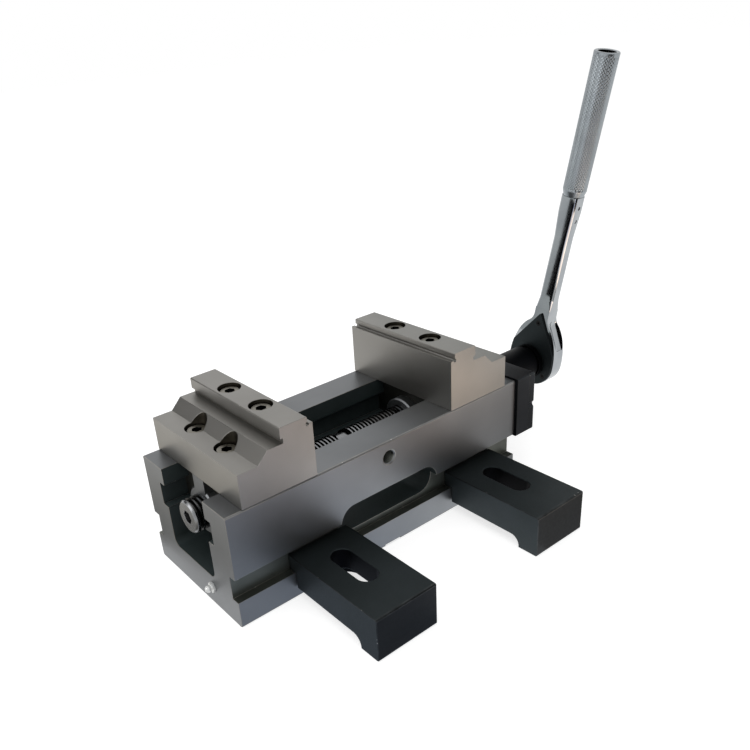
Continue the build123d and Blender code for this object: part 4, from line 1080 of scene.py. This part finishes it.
@dataclass
class Studio:
    """The photographer's view, the pale floor, the soft light and the reflecting cards."""

    azimuth_deg: float = -35.83
    elevation_deg: float = 27.26
    roll_deg: float = -5.10
    eye: tuple[float, float, float] = (-0.2811, -0.3758, 0.3176)
    view_deg: float = 51.21
    shift_x: float = 0.0638
    shift_y: float = 0.0601
    clip_start: float = 0.01
    floor_size: float = 12.0
    floor_cuts: int = 8
    floor_glow: float = 0.7
    fill_light: float = 0.55
    lamps: tuple[Lamp, ...] = (
        Lamp("sky_panel", (-0.35, -0.2, 1.5), 1.5, 9.0, False),
        Lamp("left_panel", (-1.5, 0.35, 0.75), 0.9, 4.0, True),
    )
    cards: tuple[Card, ...] = (
        Card("front_left_card", (-0.095, -0.115, 0.0006), (0.13, 0.13), "#dce4f2", "#b8c2d2", (0, -90)),
        Card("front_middle_card", (0.01, -0.115, 0.0006), (0.13, 0.11), "#acb4c2", "#fbfdff", (0, -90), 1.6),
        Card("front_right_card", (0.1625, -0.115, 0.0006), (0.13, 0.195), "#ffffff", "#7e8080", (0, -90)),
        Card("front_outer_card", (0.07, -0.24, 0.0006), (0.12, 0.36), "#5a6880", "#ffe8d4", (0, -90), 4.0),
        Card("warm_floor_card", (-0.176, 0.1, 0.0006), (0.6, 0.105), "#fffaf0", "#70706e", (0, -100), 1.3),
        Card("handle_card", (0.146, 0.06, 0.13), (0.16, 0.16), "#c8cccc", "#f4f6f6", (90, 90)),
        Card("shank_card", (0.172, -0.0189, 0.1345), (0.043, 0.083), "#0c0d0e", "#1c1e20", (90, 90), 1.0,
             -13.3),
        Card("dark_back_card", (-0.38, 0.5, 0.36), (0.36, 0.42), "#3a3a3a", "#4c4c4c", (90, 0)),
        Card("dark_side_card", (0.115, -0.2785, 0.17), (0.27, 0.34), "#0a0b0c", "#0a0b0c", (90, -11)),
    )

    def build(self) -> None:
        """Set up camera, world, floor, lamps and cards."""
        self.camera()
        self.world()
        self.floor()
        for piece in self.lamps + self.cards:
            piece.build()

    def camera(self) -> None:
        """Put the camera where the photograph was taken from."""
        a, e, r = (math.radians(v) for v in (self.azimuth_deg, self.elevation_deg, self.roll_deg))
        right = Vector((math.cos(a), math.sin(a), 0))
        back = Vector((math.sin(a) * math.cos(e), -math.cos(a) * math.cos(e), math.sin(e)))
        up = back.cross(right)
        turned_right = right * math.cos(r) + up * math.sin(r)
        turned_up = up * math.cos(r) - right * math.sin(r)
        rotation = Matrix((turned_right, turned_up, back)).transposed()
        deselect_all()
        bpy.ops.object.camera_add()
        camera = bpy.context.object
        camera.matrix_world = Matrix.Translation(Vector(self.eye)) @ rotation.to_4x4()
        camera.data.sensor_fit = "HORIZONTAL"
        camera.data.angle = math.radians(self.view_deg)
        camera.data.shift_x = self.shift_x
        camera.data.shift_y = self.shift_y
        camera.data.clip_start = self.clip_start
        bpy.context.scene.camera = camera

    def world(self) -> None:
        """White to the eye and in reflections, and a soft light on everything else."""
        world = bpy.data.worlds.new("studio_world")
        bpy.context.scene.world = world
        world.use_nodes = True
        tree = world.node_tree
        tree.nodes.clear()
        ray, seen = ray_kinds(tree)
        shown = add_node(tree, "Math", {0: seen, 1: ray.outputs["Is Transmission Ray"]}, operation="MAXIMUM")
        strength = add_node(tree, "MapRange", {"Value": shown.outputs[0], "To Min": self.fill_light})
        light = add_node(tree, "Background", {"Color": linear("#ffffff"), "Strength": strength.outputs[0]})
        add_node(tree, "OutputWorld", {"Surface": light.outputs[0]})

    def floor(self) -> None:
        """A pale floor that takes the shadow and fades into white."""
        deselect_all()
        bpy.ops.mesh.primitive_plane_add(size=self.floor_size, location=(0, 0, 0))
        floor = bpy.context.object
        floor.name = "pale_floor"
        edit_whole(floor)
        bpy.ops.mesh.subdivide(number_cuts=self.floor_cuts)
        leave_edit()
        material = empty_material("pale_paper")
        tree = material.node_tree
        seen = ray_kinds(tree)[1]
        paper = add_node(tree, "BsdfDiffuse", {"Color": linear("#c8c8c8")})
        strength = add_node(tree, "Math", {0: seen, 1: self.floor_glow}, operation="MULTIPLY")
        glow = add_node(tree, "Emission", {"Color": linear("#ffffff"), "Strength": strength.outputs[0]})
        both = add_node(tree, "AddShader", {0: paper.outputs[0], 1: glow.outputs[0]})
        add_node(tree, "OutputMaterial", {"Surface": both.outputs[0]})
        floor.data.materials.append(material)


def main() -> None:
    """Dress the whole part and set up the studio."""
    logging.basicConfig(level=logging.INFO, format="%(name)s: %(message)s")
    parts = [GroundBody(), GreaseNipple(), Leadscrew(), BearingEnd(), RatchetWrench()]
    parts += [JawCarriage(end) for end in End] + [StrapClamp(end) for end in End]
    for part in parts:
        part.build()
        LOG.info("%s is dressed", type(part).__name__)
    Studio().build()
    bpy.context.scene.view_settings.view_transform = "Standard"


if __name__ == "__main__":
    main()
